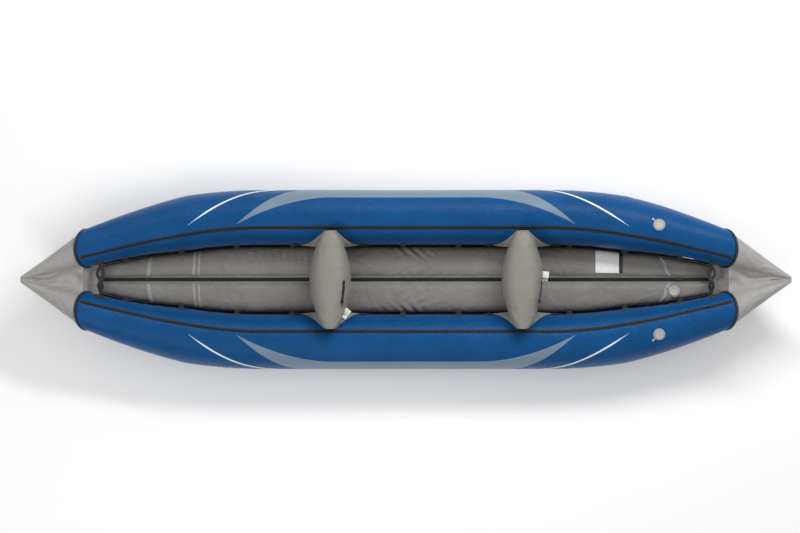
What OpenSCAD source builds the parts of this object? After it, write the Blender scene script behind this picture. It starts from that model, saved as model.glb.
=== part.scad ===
// Two-seat inflatable kayak: two tapered side tubes, a two-chamber floor and two inflated backrests.
// Millimetres. +X points to the stern, +Y to starboard, +Z up; the origin is under the middle of
// the hull, on the surface that it rests on.

/* [Hull] */
// Distance from the middle of the hull to the seam between each tube and its end cap
ring_x = 1660; // [1600:5:1720]
// Distance from the middle of the hull to each pointed tip
tip_x = 2004; // [1980:2:2100]
// Distance of each tube's axis from the centreline amidships
tube_y = 325; // [315:1:345]
// Distance of each tube's axis from the centreline at the cap seam
ring_y = 165; // [155:1:180]
// Height of each tube's axis amidships
tube_z = 145; // [144:0.5:150]
// Radius of each tube amidships
tube_r = 142.5; // [135:0.5:143]
// Radius of each tube at the cap seam
ring_r = 98; // [90:1:105]
// Radius of each cap cone at the tip
tip_r = 7; // [6:0.5:9]
// Rise of the tubes' axes at the cap seam, the rocker
ring_rise = 105; // [80:1:130]
// Lean of the cap seam: how far it moves towards the tip for each millimetre of height
ring_lean = 0.62; // [0.3:0.02:0.7]
// Thickness of the fabric shells
skin = 3; // [2.5:0.1:3.5]

/* [Floor] */
// Clearance between the floor and the tubes' inner sides
floor_gap = 10; // [8:1:14]
// Height of the floor's two crowned chambers
floor_h = 100; // [90:1:104]
// Distance from the middle of the hull to each end of the floor
floor_x = 1600; // [1560:5:1620]
// Number of lash tabs along each side
lash_count = 11; // [7:2:11]
// Spacing of the lash tabs
lash_pitch = 290; // [240:5:295]

/* [Backrests] */
// Middle of the front backrest
front_seat_x = -395; // [-460:5:-360]
// Middle of the rear backrest
rear_seat_x = 608; // [560:2:650]
// Half of a backrest's width across the hull
seat_half_w = 255; // [240:1:258]
// Half of a backrest's thickness in its middle
seat_half_t = 102; // [80:1:110]
// Half of a backrest's thickness at its two ends
seat_end_t = 23.5; // [18:0.5:30]
// Height of a backrest's crest above the ground
seat_top = 400; // [360:5:430]
// Reach of the fabric wings fore and aft of a backrest's middle
wing_reach = 158; // [140:1:170]

/* [Valves] */
// Distance from the middle of the hull to the two tube valves
valve_x = 1319; // [1250:1:1340]
// Outer radius of a valve's flange
flange_r = 31; // [29:0.5:32]
// Outer radius of a valve's barrel
barrel_r = 22; // [21:0.5:23]
// Radius of the bore inside a valve's barrel
bore_r = 17.5; // [17:0.1:18]

/* [Handles] */
// Distance from the middle of the hull to each grab handle's pivots
handle_x = 1592; // [1570:1:1600]
// Height of the handle's arch above its pivots
handle_rise = 34; // [28:1:40]
// Width of one strand of webbing in a handle
strand_w = 18; // [14:1:20]

/* [Hidden] */
$fn = 48;

blue = [0.10, 0.33, 0.55];
grey = [0.55, 0.54, 0.52];
black = [0.10, 0.11, 0.12];
film = [0.80, 0.82, 0.84];
beige = [0.75, 0.72, 0.64];
pale = [0.88, 0.88, 0.86];

bend_from = 750;       // the tubes curve in plan beyond this distance from the middle
rise_from = 900;       // and curve upward beyond this one
taper_from = 1150;     // and grow thinner beyond this one
lean_from = 1380;      // and their cross-sections begin to lean here
cap_lean_run = 260;    // length over which the lean dies away in a cap
tube_sides = 24;
bladder_sides = 12;
facet = 180 / tube_sides;
side_steps = [750, 900, 1040, 1170, 1290, 1400, 1490, 1570, 1620, 1660];
tube_steps = [for (s = side_steps) s / 1660 * ring_x];
seam_gap = 0.5;
panel_gap = 0.4;       // between a tube cover's sewn panels
piping_w = 7;
bladder_gap = 4.5;
bladder_skin = 3.5;
bladder_x = 1880;      // the bladders reach this far into the caps
zip_tape = 9.5;        // half width of a zipper's tape
zip_teeth = 3;         // half width of its row of teeth
tape_t = 1.5;
teeth_h = 3.3;
zip_profile = [
    [-zip_tape, 0], [zip_tape, 0], [zip_tape, tape_t], [zip_teeth, tape_t],
    [zip_teeth, teeth_h], [-zip_teeth, teeth_h], [-zip_teeth, tape_t], [-zip_tape, tape_t]
];
zip_lift = 0.8;
slider_x = 1560;       // where the tube zippers' sliders rest
slider_travel = 60;
floor_slider_x = 1440;
floor_bladder_gap = 4.5;
skirt_a = 222;         // angle round a tube at which the floor's skirt joins it
droop_from = 1450;     // the floor's ends round off beyond this distance from the middle
droop_run = 190;
seat_slider_travel = 40;
tube_valve_a = 80;     // angle of the tube valves round the tube, from outboard
floor_valve_x = 1404;

// ---------------------------------------------------------------- curves of the hull
function mix(a, b, t) = a + (b - a) * t;
function spow(v, p) = sign(v) * pow(abs(v), p);
function beyond(x, from) = max(0, abs(x) - from);
function cone_t(x) = (abs(x) - ring_x) / (tip_x - ring_x);
function bend_t(x) = beyond(x, bend_from) / (ring_x - bend_from);
function rise(x) = ring_rise * pow(beyond(x, rise_from) / (ring_x - rise_from), 2);
function axis_y(x) = abs(x) <= ring_x
    ? tube_y - (tube_y - ring_y) * pow(bend_t(x), 2)
    : mix(ring_y, tip_r + 0.5, cone_t(x));
function axis_z(x) = tube_z + rise(x);
function tube_rad(x) = abs(x) <= ring_x
    ? tube_r - (tube_r - ring_r) * beyond(x, taper_from) / (ring_x - taper_from)
    : mix(ring_r, tip_r, cone_t(x));
function lean(x) = abs(x) <= ring_x
    ? ring_lean * pow(beyond(x, lean_from) / (ring_x - lean_from), 2)
    : ring_lean * max(0, 1 - (abs(x) - ring_x) / cap_lean_run);
function zip_a(x) = 112.5 + 12 * pow(min(1, bend_t(x)), 1.5);

// A point at angle a round the starboard tube, from outboard over the top, off from its surface
function tube_pt(x, a, off) = let (r = tube_rad(x) + off)
    [x + sign(x) * lean(x) * r * sin(a), axis_y(x) + r * cos(a), axis_z(x) + r * sin(a)];
function tube_ring(x, off, n) =
    [for (i = [0 : n - 1]) tube_pt(x, zip_a(x) + (i + 0.5) * 360 / n, off)];
function both_ways(steps) = concat([for (i = [len(steps) - 1 : -1 : 0]) -steps[i]], steps);
function flipped(ring) = [for (i = [len(ring) - 1 : -1 : 0]) [ring[i][0], -ring[i][1], ring[i][2]]];
function backwards(ring) = [for (i = [len(ring) - 1 : -1 : 0]) ring[i]];

// ---------------------------------------------------------------- lofts
function skin_faces(rows, n, first, inward) = [
    for (i = [0 : rows - 2], j = [0 : n - 1])
    let (a = first + i * n + j, b = first + i * n + (j + 1) % n, c = a + n, d = b + n)
    each inward ? [[a, d, c], [a, b, d]] : [[a, c, d], [a, d, b]]
];

// A closed solid through a list of rings
module solid_loft(rings) {
    n = len(rings[0]);
    rows = len(rings);
    start = [for (j = [0 : n - 1]) j];
    finish = [for (j = [n - 1 : -1 : 0]) (rows - 1) * n + j];
    polyhedron(
        points = [for (r = rings) each r],
        faces = concat(skin_faces(rows, n, 0, false), [start, finish]),
        convexity = 6
    );
}

// A sheet between a top and an under surface, each a list of rows that run from outboard inward
module sheet_loft(top, under) {
    n = len(top[0]);
    rows = len(top);
    k = n * rows;
    walls = [
        for (i = [0 : rows - 2], j = [0 : n - 2])
        let (a = i * n + j, b = a + 1, c = a + n, d = c + 1)
        each [[a, c, d], [a, d, b], [k + a, k + d, k + c], [k + a, k + b, k + d]]
    ];
    sides = [
        for (i = [0 : rows - 2])
        let (a = i * n, c = a + n, b = a + n - 1, d = b + n)
        each [[c, a, k + a], [c, k + a, k + c], [b, d, k + d], [b, k + d, k + b]]
    ];
    ends = [
        for (j = [0 : n - 2])
        let (b = j + 1, c = (rows - 1) * n + j, d = c + 1)
        each [[j, b, k + b], [j, k + b, k + j], [d, c, k + c], [d, k + c, k + d]]
    ];
    polyhedron(
        points = [for (r = concat(top, under)) each r],
        faces = concat(walls, sides, ends),
        convexity = 6
    );
}

// A sleeve with a wall between two lists of rings, open at both ends
module sleeve_loft(outer, inner) {
    n = len(outer[0]);
    rows = len(outer);
    k = n * rows;
    last = (rows - 1) * n;
    rims = [
        for (j = [0 : n - 1])
        let (h = (j + 1) % n)
        each [
            [j, h, k + h], [j, k + h, k + j],
            [last + j, k + last + j, k + last + h], [last + j, k + last + h, last + h]
        ]
    ];
    polyhedron(
        points = concat([for (r = outer) each r], [for (r = inner) each r]),
        faces = concat(skin_faces(rows, n, 0, false), skin_faces(rows, n, k, true), rims),
        convexity = 8
    );
}

// A cup with a wall between two lists of rings, open at the start and closed at the other end
module cup_loft(outer, inner) {
    n = len(outer[0]);
    rows = len(outer);
    k = n * rows;
    last = (rows - 1) * n;
    rim = [for (j = [0 : n - 1]) let (h = (j + 1) % n) each [[j, h, k + h], [j, k + h, k + j]]];
    polyhedron(
        points = concat([for (r = outer) each r], [for (r = inner) each r]),
        faces = concat(
            skin_faces(rows, n, 0, false), skin_faces(rows, n, k, true), rim,
            [[for (j = [n - 1 : -1 : 0]) last + j], [for (j = [0 : n - 1]) k + last + j]]
        ),
        convexity = 8
    );
}

module port() { mirror([0, 1, 0]) children(); }
module bow() { mirror([1, 0, 0]) children(); }

// Places a child on the starboard tube's surface, with its Z along the outward normal
module on_tube(x, a, off) {
    yaw = atan((axis_y(x + 1) - axis_y(x - 1)) / 2);
    pitch = atan((axis_z(x + 1) - axis_z(x - 1)) / 2);
    taper = atan((tube_rad(x - 1) - tube_rad(x + 1)) / 2);
    r = tube_rad(x) + off;
    translate([x, axis_y(x) + r * cos(a), axis_z(x) + r * sin(a)])
        rotate([a - 90, -pitch, yaw]) rotate([0, taper, 0]) children();
}

// ---------------------------------------------------------------- side tubes
module tube_panel(steps) {
    sleeve_loft(
        [for (x = steps) tube_ring(x, 0, tube_sides)],
        [for (x = steps) tube_ring(x, -skin, tube_sides)]
    );
}

module middle_shell_body() {
    half = bend_from - panel_gap / 2;
    tube_panel([-half, half]);
}

module end_shell_body(end) {
    first = bend_from + panel_gap / 2;
    far = concat([first], [for (i = [1 : len(tube_steps) - 1]) tube_steps[i]]);
    tube_panel(end > 0 ? far : [for (i = [len(far) - 1 : -1 : 0]) -far[i]]);
}

module stern_shell_body() {
    difference() {
        end_shell_body(1);
        on_tube(valve_x, tube_valve_a, 0) cylinder(r = barrel_r + 2, h = 40, center = true);
    }
}

module tube_bladder_body() {
    caps = [for (i = [1 : 3]) mix(ring_x, bladder_x, i / 3)];
    steps = both_ways(concat(tube_steps, caps));
    difference() {
        solid_loft([for (x = steps) tube_ring(x, -bladder_gap - skin, bladder_sides)]);
        solid_loft([
            for (x = steps)
            tube_ring(x * 0.997, -bladder_gap - skin - bladder_skin, bladder_sides)
        ]);
        on_tube(valve_x, tube_valve_a, 0) cylinder(r = barrel_r + 1, h = 60, center = true);
    }
}

module zipper_strip(steps) {
    solid_loft([
        for (x = steps)
        let (a = zip_a(x), r = tube_rad(x) * cos(facet) + zip_lift, k = sign(x) * lean(x))
        [
            for (p = zip_profile)
            let (
                y = (r + p[1]) * cos(a) + p[0] * sin(a),
                z = (r + p[1]) * sin(a) - p[0] * cos(a)
            )
            [x + k * z, axis_y(x) + y, axis_z(x) + z]
        ]
    ]);
}

module tube_zipper_body() {
    ends = concat([for (i = [0 : 8]) tube_steps[i]], [ring_x - 20]);
    zipper_strip(both_ways(ends));
}

// Slider of a zipper: body, bail and pull tab, with Z away from the teeth
module slider() {
    translate([-7, -5, 0]) cube([14, 10, 3]);
    translate([-2, -1.5, 2.9]) cube([8, 3, 2.2]);
    translate([-24, -3, 3.4]) cube([24, 6, 1.4]);
    translate([-24, 0, 3.4]) cylinder(r = 3, h = 1.4);
}

function zip_pt(x) = tube_pt(x, zip_a(x), 0);

// Turns a child's X along the chord from p to q and its Z near to the direction up
module along(p, q, up_a) {
    d = q - p;
    yaw = atan2(d[1], d[0]);
    pitch = atan2(d[2], norm([d[0], d[1]]));
    translate(p) rotate([0, -pitch, yaw]) rotate([up_a, 0, 0]) children();
}

module tube_slider_body() {
    h = teeth_h + zip_lift + 0.7;
    a = zip_a(slider_x);
    along(zip_pt(slider_x), zip_pt(slider_x) * 2 - zip_pt(slider_x - slider_travel), a - 90)
        translate([0, 0, h]) slider();
}

module piping_ring() {
    steps = [ring_x + seam_gap, ring_x + seam_gap + piping_w];
    sleeve_loft(
        [for (x = steps) tube_ring(x, 4, tube_sides)],
        [for (x = steps) tube_ring(x, -skin, tube_sides)]
    );
}

// ---------------------------------------------------------------- pointed end caps
web_up = 0.25;         // height of the deck web above the axes, over the cone's radius
web_half = 4;          // half of its thickness
cap_rows = 7;
cap_sides = 22;
cap_solid = 70;        // length of the flat welded tip

// Outline of both cones and the deck web between them, thinner by off
function cap_ring(x, off, n) = let (
    r = tube_rad(x) - off,
    up = web_up * tube_rad(x),
    half = min(web_half, 0.45 * tube_rad(x)) - off,
    a1 = 180 - asin((up + half) / r),
    a2 = -180 - asin((up - half) / r),
    lobe = [
        for (i = [0 : n])
        let (a = mix(a2, a1, i / n))
        [x + sign(x) * lean(x) * r * sin(a), axis_y(x) + r * cos(a), axis_z(x) + r * sin(a)]
    ]
) concat(lobe, flipped(lobe));

module cap_body() {
    first = ring_x + 2 * seam_gap + piping_w;
    cup_loft(
        [for (i = [0 : cap_rows]) cap_ring(mix(first, tip_x, i / cap_rows), 0, cap_sides)],
        [
            for (i = [0 : cap_rows])
            cap_ring(mix(first, tip_x - cap_solid, i / cap_rows), skin - 0.4, cap_sides)
        ]
    );
}

// ---------------------------------------------------------------- floor
function floor_w(x) = axis_y(x) - tube_rad(x) - floor_gap;
function end_h(x) = sqrt(1 - pow(beyond(x, droop_from) / droop_run, 2));
valley = 10;           // half width of the flat valley between the two chambers
slit = 5;              // half width of the slit under the floor's zipper
side_h = 0.48;         // height of a chamber's widest point, over its whole height

// A point of the starboard chamber at angle t round it, off from its surface
function floor_pt(x, t, off) = let (
    w = floor_w(x),
    h = floor_h * end_h(x),
    mid = side_h * h,
    up = t > 0 ? h - mid : mid,
    y = (w + valley) / 2 + ((w - valley) / 2 + off) * spow(cos(t), 0.6),
    z = mid + (up + off) * spow(sin(t), 0.7)
) [x, y, rise(x) + z];
function valley_z(x) = floor_pt(x, 145, 0)[2];
function chamber(x, off) = [for (t = [-90 : 23.5 : 145]) floor_pt(x, t, off)];
floor_steps = both_ways([900, 1030, 1150, 1260, 1360, 1450, 1520, 1570, floor_x]);

function floor_section(x) = let (
    outer = concat(chamber(x, 0), [[x, slit, valley_z(x)]]),
    inner = concat([[x, slit, valley_z(x) - skin]], backwards(chamber(x, -skin))),
    inner_port = backwards(flipped(inner))
) concat(outer, inner, flipped(inner), flipped(outer));

// The strips that close one end of a floor section with m points along each chamber
function end_strips(m) = concat(
    [for (k = [0 : m - 2]) [k, k + 1, 2 * m - 2 - k, 2 * m - 1 - k]],
    [[0, 2 * m - 1, 2 * m, 4 * m - 1]],
    [for (k = [0 : m - 2]) [2 * m + k, 2 * m + k + 1, 4 * m - 2 - k, 4 * m - 1 - k]]
);

module floor_loft(rings) {
    n = len(rings[0]);
    rows = len(rings);
    strips = end_strips(n / 4);
    finish = [for (q = strips) [for (j = [3 : -1 : 0]) (rows - 1) * n + q[j]]];
    polyhedron(
        points = [for (r = rings) each r],
        faces = concat(skin_faces(rows, n, 0, false), strips, finish),
        convexity = 8
    );
}

module floor_shell_body() {
    difference() {
        floor_loft([for (x = floor_steps) floor_section(x)]);
        on_floor_valve() cylinder(r = barrel_r + 2, h = 20, center = true);
    }
}

module floor_bladder_body() {
    steps = [for (x = floor_steps) if (abs(x) < floor_x) x];
    off = skin + floor_bladder_gap;
    difference() {
        solid_loft([for (x = steps) let (c = chamber(x, -off)) concat(c, flipped(c))]);
        solid_loft([
            for (x = steps)
            let (c = chamber(x * 0.995, -off - bladder_skin))
            concat(c, flipped(c))
        ]);
        on_floor_valve() cylinder(r = barrel_r + 1, h = 60, center = true);
    }
}

module floor_zipper_body() {
    solid_loft([
        for (x = [for (s = floor_steps) abs(s) < floor_x ? s : s - 10 * sign(s)])
        [for (p = zip_profile) [x, p[0], valley_z(x) + zip_lift + p[1]]]
    ]);
}

function floor_zip_pt(x) = [x, 0, valley_z(x)];

module floor_slider_body() {
    h = teeth_h + zip_lift + 0.7;
    p = floor_zip_pt(floor_slider_x);
    along(p, p * 2 - floor_zip_pt(floor_slider_x - slider_travel), 0)
        translate([0, 0, h]) slider();
}

module floor_skirt_body() {
    spans = 3;
    rows = [
        for (x = both_ways([250, 750, 850, 950, 1040, 1120, 1200, 1280, 1350, 1420, 1490, 1560]))
        let (
            r = tube_rad(x) + 0.8,
            a = [axis_y(x) + r * cos(skirt_a), axis_z(x) + r * sin(skirt_a)],
            b = [floor_w(x) + 0.8, rise(x) + side_h * floor_h * end_h(x)]
        )
        [for (i = [0 : spans]) let (p = mix(a, b, i / spans)) [x, p[0], p[1]]]
    ];
    sheet_loft(rows, [for (r = rows) [for (p = r) p - [0, 0, 2.4]]]);
}

// Fabric panel that closes the hull between the floor's end and the cap's deck
module end_panel() {
    back = 56;
    t = 2;
    low = [ring_x - back, 88, rise(ring_x - back) + 60];
    high = [ring_x + 20, 58, axis_z(ring_x) + 0.16 * ring_r];
    solid_loft([
        for (p = [low, high])
        [[p[0], -p[1], p[2] - t], [p[0], p[1], p[2] - t], [p[0], p[1], p[2]], [p[0], -p[1], p[2]]]
    ]);
}

tab = [26, 4, 18];     // a lash tab's width, thickness and height
tab_shift = 15;        // the row of tabs sits this far towards the bow
crease_a = 187;        // angle round a tube of the crease where they stand

module lash_tabs_body() {
    for (i = [0 : lash_count - 1]) {
        x = (i - (lash_count - 1) / 2) * lash_pitch - tab_shift;
        on_tube(x, crease_a, 0.6) translate([-tab[0] / 2, -tab[1] / 2, 0]) cube(tab);
    }
}

patch_lift = 1.4;
patch_t = 1;
label_x = [992, 1114];
strip_x = [1117, 1134];
patch_a = [40, 118];   // the patches' range of angles round the starboard chamber

module patch(x1, x2, t1, t2) {
    n = 6;
    function patch_rows(off) = [
        for (i = [0 : 3]) [for (j = [0 : n]) floor_pt(mix(x1, x2, i / 3), mix(t1, t2, j / n), off)]
    ];
    sheet_loft(patch_rows(patch_lift + patch_t), patch_rows(patch_lift));
}

// ---------------------------------------------------------------- valves
module on_floor_valve() {
    p = floor_pt(floor_valve_x, 90, 0);
    slope = atan((rise(floor_valve_x + 1) - rise(floor_valve_x - 1)) / 2);
    translate([p[0], -p[1], p[2]]) rotate([0, -slope, 0]) children();
}

floor_z = -34;         // underside of a valve's inner floor
stem_r = 2.5;
head_z = -8;           // underside of the poppet's button

module valve_body_shape() {
    difference() {
        rotate_extrude() polygon([
            [stem_r + 0.06, floor_z], [barrel_r, floor_z], [barrel_r, 0.9], [flange_r, 0.9],
            [flange_r, 3.4], [flange_r - 1.5, 4.4], [bore_r, 4.4], [bore_r, floor_z + 3],
            [stem_r + 0.06, floor_z + 3]
        ]);
        for (i = [0 : 3]) rotate([0, 0, 90 * i])
            translate([9.5, 0, floor_z - 1]) cylinder(r = 3.5, h = 5);
    }
}

module valve_cap_shape() {
    rotate_extrude() polygon([
        [0, 5.2], [14, 5.6], [15, 4.7], [15, -3], [bore_r - 0.08, -3], [bore_r - 0.08, 4.7],
        [23.5, 4.7], [23.5, 9], [22, 10], [20, 10], [17, 8], [0, 7.2]
    ]);
}

module valve_poppet_shape() {
    rotate_extrude() polygon([
        [0, floor_z - 3.3], [14, floor_z - 3.3], [14, floor_z - 0.3], [stem_r, floor_z - 0.3],
        [stem_r, head_z], [7, head_z], [7, head_z + 3], [0, head_z + 3]
    ]);
}

module valve_spring_shape() {
    turns = 5;
    per_turn = 10;
    wire = 0.6;
    coil_r = 5;
    low = floor_z + 3 + wire + 0.15;
    high = head_z - wire - 0.15;
    solid_loft([
        for (i = [0 : turns * per_turn])
        let (
            a = 360 * i / per_turn,
            z = mix(low, high, i / (turns * per_turn)),
            out = [cos(a), sin(a), 0]
        )
        [for (j = [0 : 4]) out * (coil_r + wire * cos(-72 * j)) + [0, 0, z + wire * sin(-72 * j)]]
    ]);
}

module cap_strap_shape() {
    translate([0, 0, 4.7]) linear_extrude(height = 2) difference() {
        union() {
            circle(r = 28.5);
            rotate(150) translate([26, -3.5]) square([18, 7]);
            rotate(150) translate([45, 0]) circle(r = 6);
        }
        circle(r = 24.2);
    }
}

module on_tube_valve() { on_tube(valve_x, tube_valve_a, 0) children(); }

// ---------------------------------------------------------------- grab handles
pin_y = 58;            // inner end of a handle's pivot pin
pin_r = 4;
eye_r = 8;
eye_y = 67;            // middle of the eye at each end of a handle
eye_w = 14;
anchor_y = 82;         // outer end of the pivot pin
handle_a = 176;
cross_a = 8;           // each strand crosses the centreline at this angle
strand_t = 4;

function handle_z() = axis_z(handle_x) + tube_rad(handle_x) * sin(handle_a);

module handle_anchor() {
    on_tube(handle_x, handle_a, 0.6) translate([-12, -15, 0]) cube([24, 30, 3]);
    translate([handle_x, anchor_y, handle_z()]) rotate([90, 0, 0])
        cylinder(r = pin_r, h = anchor_y - pin_y);
}

module handle_anchors_body() {
    handle_anchor();
    port() handle_anchor();
}

module handle_body() {
    span = 70;
    n = 12;
    top = [for (i = [-n : n]) [span * i / n, handle_rise * (1 - pow(i / n, 2)) + strand_t / 2]];
    low = [for (p = top) [p[0], p[1] - strand_t]];
    translate([handle_x, 0, handle_z()]) difference() {
        union() {
            for (turn = [-cross_a, cross_a]) rotate([0, 0, 90 + turn]) rotate([90, 0, 0])
                linear_extrude(height = strand_w, center = true)
                    polygon(concat(low, backwards(top)));
            for (s = [-1, 1]) translate([0, s * eye_y, 0]) rotate([90, 0, 0])
                cylinder(r = eye_r, h = eye_w, center = true);
        }
        for (s = [-1, 1]) translate([0, s * (eye_y + 1), 0]) rotate([90, 0, 0])
            cylinder(r = pin_r + 0.06, h = 20, center = true);
    }
}

// ---------------------------------------------------------------- backrests
shelf_r = tube_r + 12;     // the backrest's ends clear the tubes by this radius
seat_low = 108;
seat_sides = 14;
foot_from = 150;       // the foot starts to rise over the tubes beyond this distance
crest_drop = 25;
seat_stops = [75, 140, 160, 171, 182, 198, 218, 238, 255];
seat_steps = both_ways([for (s = seat_stops) s / max(seat_stops) * seat_half_w]);
front_valve_y = -188;
rear_valve_y = 0;
seat_valve_hole = 9.6;

function seat_t(y) = seat_end_t + (seat_half_t - seat_end_t) * (1 - pow(y / seat_half_w, 2));
function seat_hi(y) = seat_top - crest_drop * pow(y / seat_half_w, 2);
function seat_lo(y) = let (inner = tube_y - shelf_r, u = abs(y))
    u > inner ? tube_z + sqrt(pow(shelf_r, 2) - pow(tube_y - u, 2))
    : mix(seat_low, tube_z, pow(max(0, u - foot_from) / (inner - foot_from), 2));
// A point at angle a round a backrest's section, from its crest towards the stern
function seat_pt(x0, y, a, off) = let (h = (seat_hi(y) - seat_lo(y)) / 2) [
    x0 + (seat_t(y) + off) * spow(sin(a), 0.8),
    y,
    seat_lo(y) + h + (h + off) * spow(cos(a), 0.9)
];
function seat_ring(x0, y, off) =
    [for (i = [0 : seat_sides - 1]) seat_pt(x0, y, 360 * (i + 0.5) / seat_sides, off)];

// Angle of the surface's outward normal from +Z towards +X
function seat_tilt(x0, y, a) = let (d = seat_pt(x0, y, a + 1, 0) - seat_pt(x0, y, a - 1, 0))
    atan2(-d[2], d[0]);

module backrest_shell_body(x0, zip_at, valve_y) {
    mid = (seat_zip_from + seat_zip_to) / 2;
    difference() {
        solid_loft([for (y = seat_steps) seat_ring(x0, y, 0)]);
        solid_loft([for (y = seat_steps) seat_ring(x0, y * 0.985, -skin)]);
        translate(seat_pt(x0, mid, zip_at, 0)) rotate([0, seat_tilt(x0, mid, zip_at), 0])
            cube([3, seat_zip_to - seat_zip_from - 8, 16], center = true);
        on_seat_valve(x0, valve_y) cylinder(r = seat_valve_hole, h = 30, center = true);
    }
}

module backrest_bladder_body(x0, valve_y) {
    off = skin + 3.5;
    difference() {
        solid_loft([for (y = seat_steps) seat_ring(x0, y * 0.965, -off)]);
        solid_loft([for (y = seat_steps) seat_ring(x0, y * 0.95, -off - bladder_skin)]);
        on_seat_valve(x0, valve_y) cylinder(r = seat_valve_hole, h = 60, center = true);
    }
}

seat_zip_from = -123;
seat_zip_to = -5;
front_zip_at = 40;
rear_zip_at = 72;

function seat_zip_ring(x0, y, a) = let (
    n = seat_tilt(x0, y, a),
    p = seat_pt(x0, y, a, zip_lift)
) [for (q = zip_profile) p + [q[1] * sin(n) - q[0] * cos(n), 0, q[1] * cos(n) + q[0] * sin(n)]];

module backrest_zipper_body(x0, a) {
    solid_loft([
        for (i = [0 : 5])
        seat_zip_ring(x0, mix(seat_zip_from, seat_zip_to, i / 5), a)
    ]);
}

module backrest_slider_body(x0, a) {
    y1 = seat_zip_from + 10;
    p = seat_pt(x0, y1, a, 0);
    q = seat_pt(x0, y1 + seat_slider_travel, a, 0);
    d = q - p;
    turn = atan2(d[0], d[1]);
    n = seat_tilt(x0, y1, a);
    translate(p) rotate([0, 0, -turn]) rotate([0, n, 0]) rotate([0, 0, 90])
        translate([0, 0, teeth_h + zip_lift + 1.2]) slider();
}

module on_seat_valve(x0, y) {
    slope = (seat_t(y + 1) - seat_t(y - 1)) / 2;
    translate(seat_pt(x0, y, 90, 0)) rotate([0, 0, -atan(slope)]) rotate([0, 90, 0]) children();
}

module seat_valve_tube_shape() {
    rotate_extrude() polygon([
        [6, -14], [9, -14], [9, 1.3], [13, 1.3], [13, 3.5], [9, 3.5], [9, 20], [6, 20]
    ]);
}

module seat_valve_cap_shape() {
    rotate_extrude() polygon([
        [0, 12], [5.94, 12], [5.94, 20.3], [11.5, 20.3], [11.5, 27], [10, 28.5], [0, 28.5]
    ]);
}

wing_a = [118, 177];   // angles round the tube at a wing's top and at its point
wing_lift = 4;
wing_t = 1.6;

// One triangular wing that lies over the tube's inner shoulder
module wing(x0, side) {
    n = 7;
    over = wing_lift + wing_t;
    solid_loft([
        for (i = [0 : n])
        let (
            u = i / n,
            a = mix(wing_a[0], wing_a[1], u),
            edge = [x0 + side * mix(10, 88, u), x0 + side * mix(28, wing_reach, u)],
            x1 = min(edge),
            x2 = max(edge)
        )
        [
            tube_pt(x1, a, wing_lift), tube_pt(x2, a, wing_lift),
            tube_pt(x2, a, over), tube_pt(x1, a, over)
        ]
    ]);
}

module wings_body(x0) {
    for (side = [-1, 1]) {
        wing(x0, side);
        port() wing(x0, side);
    }
}

buckle_out = 16;       // from a wing's point to the middle of its buckle
buckle_a = 175;

module buckle(x0, side) {
    on_tube(x0 + side * (wing_reach + buckle_out), buckle_a, 2)
        difference() {
            translate([-14, -11, 0]) cube([28, 22, 5]);
            translate([-3, -8, -1]) cube([5, 16, 7]);
        }
}

module buckles_body(x0) {
    for (side = [-1, 1]) {
        buckle(x0, side);
        port() buckle(x0, side);
    }
}

// ---------------------------------------------------------------- sub-parts
module starboard_tube_shell() { color(blue) middle_shell_body(); }
module starboard_bow_shell() { color(blue) end_shell_body(-1); }
module starboard_stern_shell() { color(blue) stern_shell_body(); }
module port_tube_shell() { color(blue) port() middle_shell_body(); }
module port_bow_shell() { color(blue) port() end_shell_body(-1); }
module port_stern_shell() { color(blue) port() stern_shell_body(); }
module starboard_tube_bladder() { color(film) tube_bladder_body(); }
module port_tube_bladder() { color(film) port() tube_bladder_body(); }
module bow_cap() { color(grey) bow() cap_body(); }
module stern_cap() { color(grey) cap_body(); }
module tube_end_piping() {
    color(black) {
        piping_ring();
        port() piping_ring();
        bow() piping_ring();
        bow() port() piping_ring();
    }
}
module starboard_tube_zipper() { color(black) tube_zipper_body(); }
module port_tube_zipper() { color(black) port() tube_zipper_body(); }
module starboard_zip_slider() { color(black) tube_slider_body(); }
module port_zip_slider() { color(black) port() tube_slider_body(); }
module floor_shell() { color(grey) floor_shell_body(); }
module floor_bladder() { color(film) floor_bladder_body(); }
module floor_zipper() { color(black) floor_zipper_body(); }
module floor_zip_slider() { color(black) floor_slider_body(); }
module floor_end_panels() {
    color(grey) {
        end_panel();
        bow() end_panel();
    }
}
module starboard_floor_skirt() { color(black) floor_skirt_body(); }
module port_floor_skirt() { color(black) port() floor_skirt_body(); }
module starboard_lash_tabs() { color(black) lash_tabs_body(); }
module port_lash_tabs() { color(black) port() lash_tabs_body(); }
module floor_label_patch() { color(pale) patch(label_x[0], label_x[1], patch_a[0], patch_a[1]); }
module floor_strip_patch() { color(black) patch(strip_x[0], strip_x[1], patch_a[0], patch_a[1]); }
module tube_tag_patch() {
    color(pale) on_tube(1472, 166, 0.8) translate([-31, -6.5, 0]) cube([62, 13, 1]);
}
module starboard_valve_body() { color(grey) on_tube_valve() valve_body_shape(); }
module port_valve_body() { color(grey) port() on_tube_valve() valve_body_shape(); }
module floor_valve_body() { color(grey) on_floor_valve() valve_body_shape(); }
module starboard_valve_cap() { color(beige) on_tube_valve() valve_cap_shape(); }
module port_valve_cap() { color(beige) port() on_tube_valve() valve_cap_shape(); }
module floor_valve_cap() { color(beige) on_floor_valve() valve_cap_shape(); }
module starboard_valve_poppet() { color(pale) on_tube_valve() valve_poppet_shape(); }
module port_valve_poppet() { color(pale) port() on_tube_valve() valve_poppet_shape(); }
module floor_valve_poppet() { color(pale) on_floor_valve() valve_poppet_shape(); }
module starboard_valve_spring() { color(film) on_tube_valve() valve_spring_shape(); }
module port_valve_spring() { color(film) port() on_tube_valve() valve_spring_shape(); }
module floor_valve_spring() { color(film) on_floor_valve() valve_spring_shape(); }
module starboard_cap_strap() { color(grey) on_tube_valve() cap_strap_shape(); }
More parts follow.
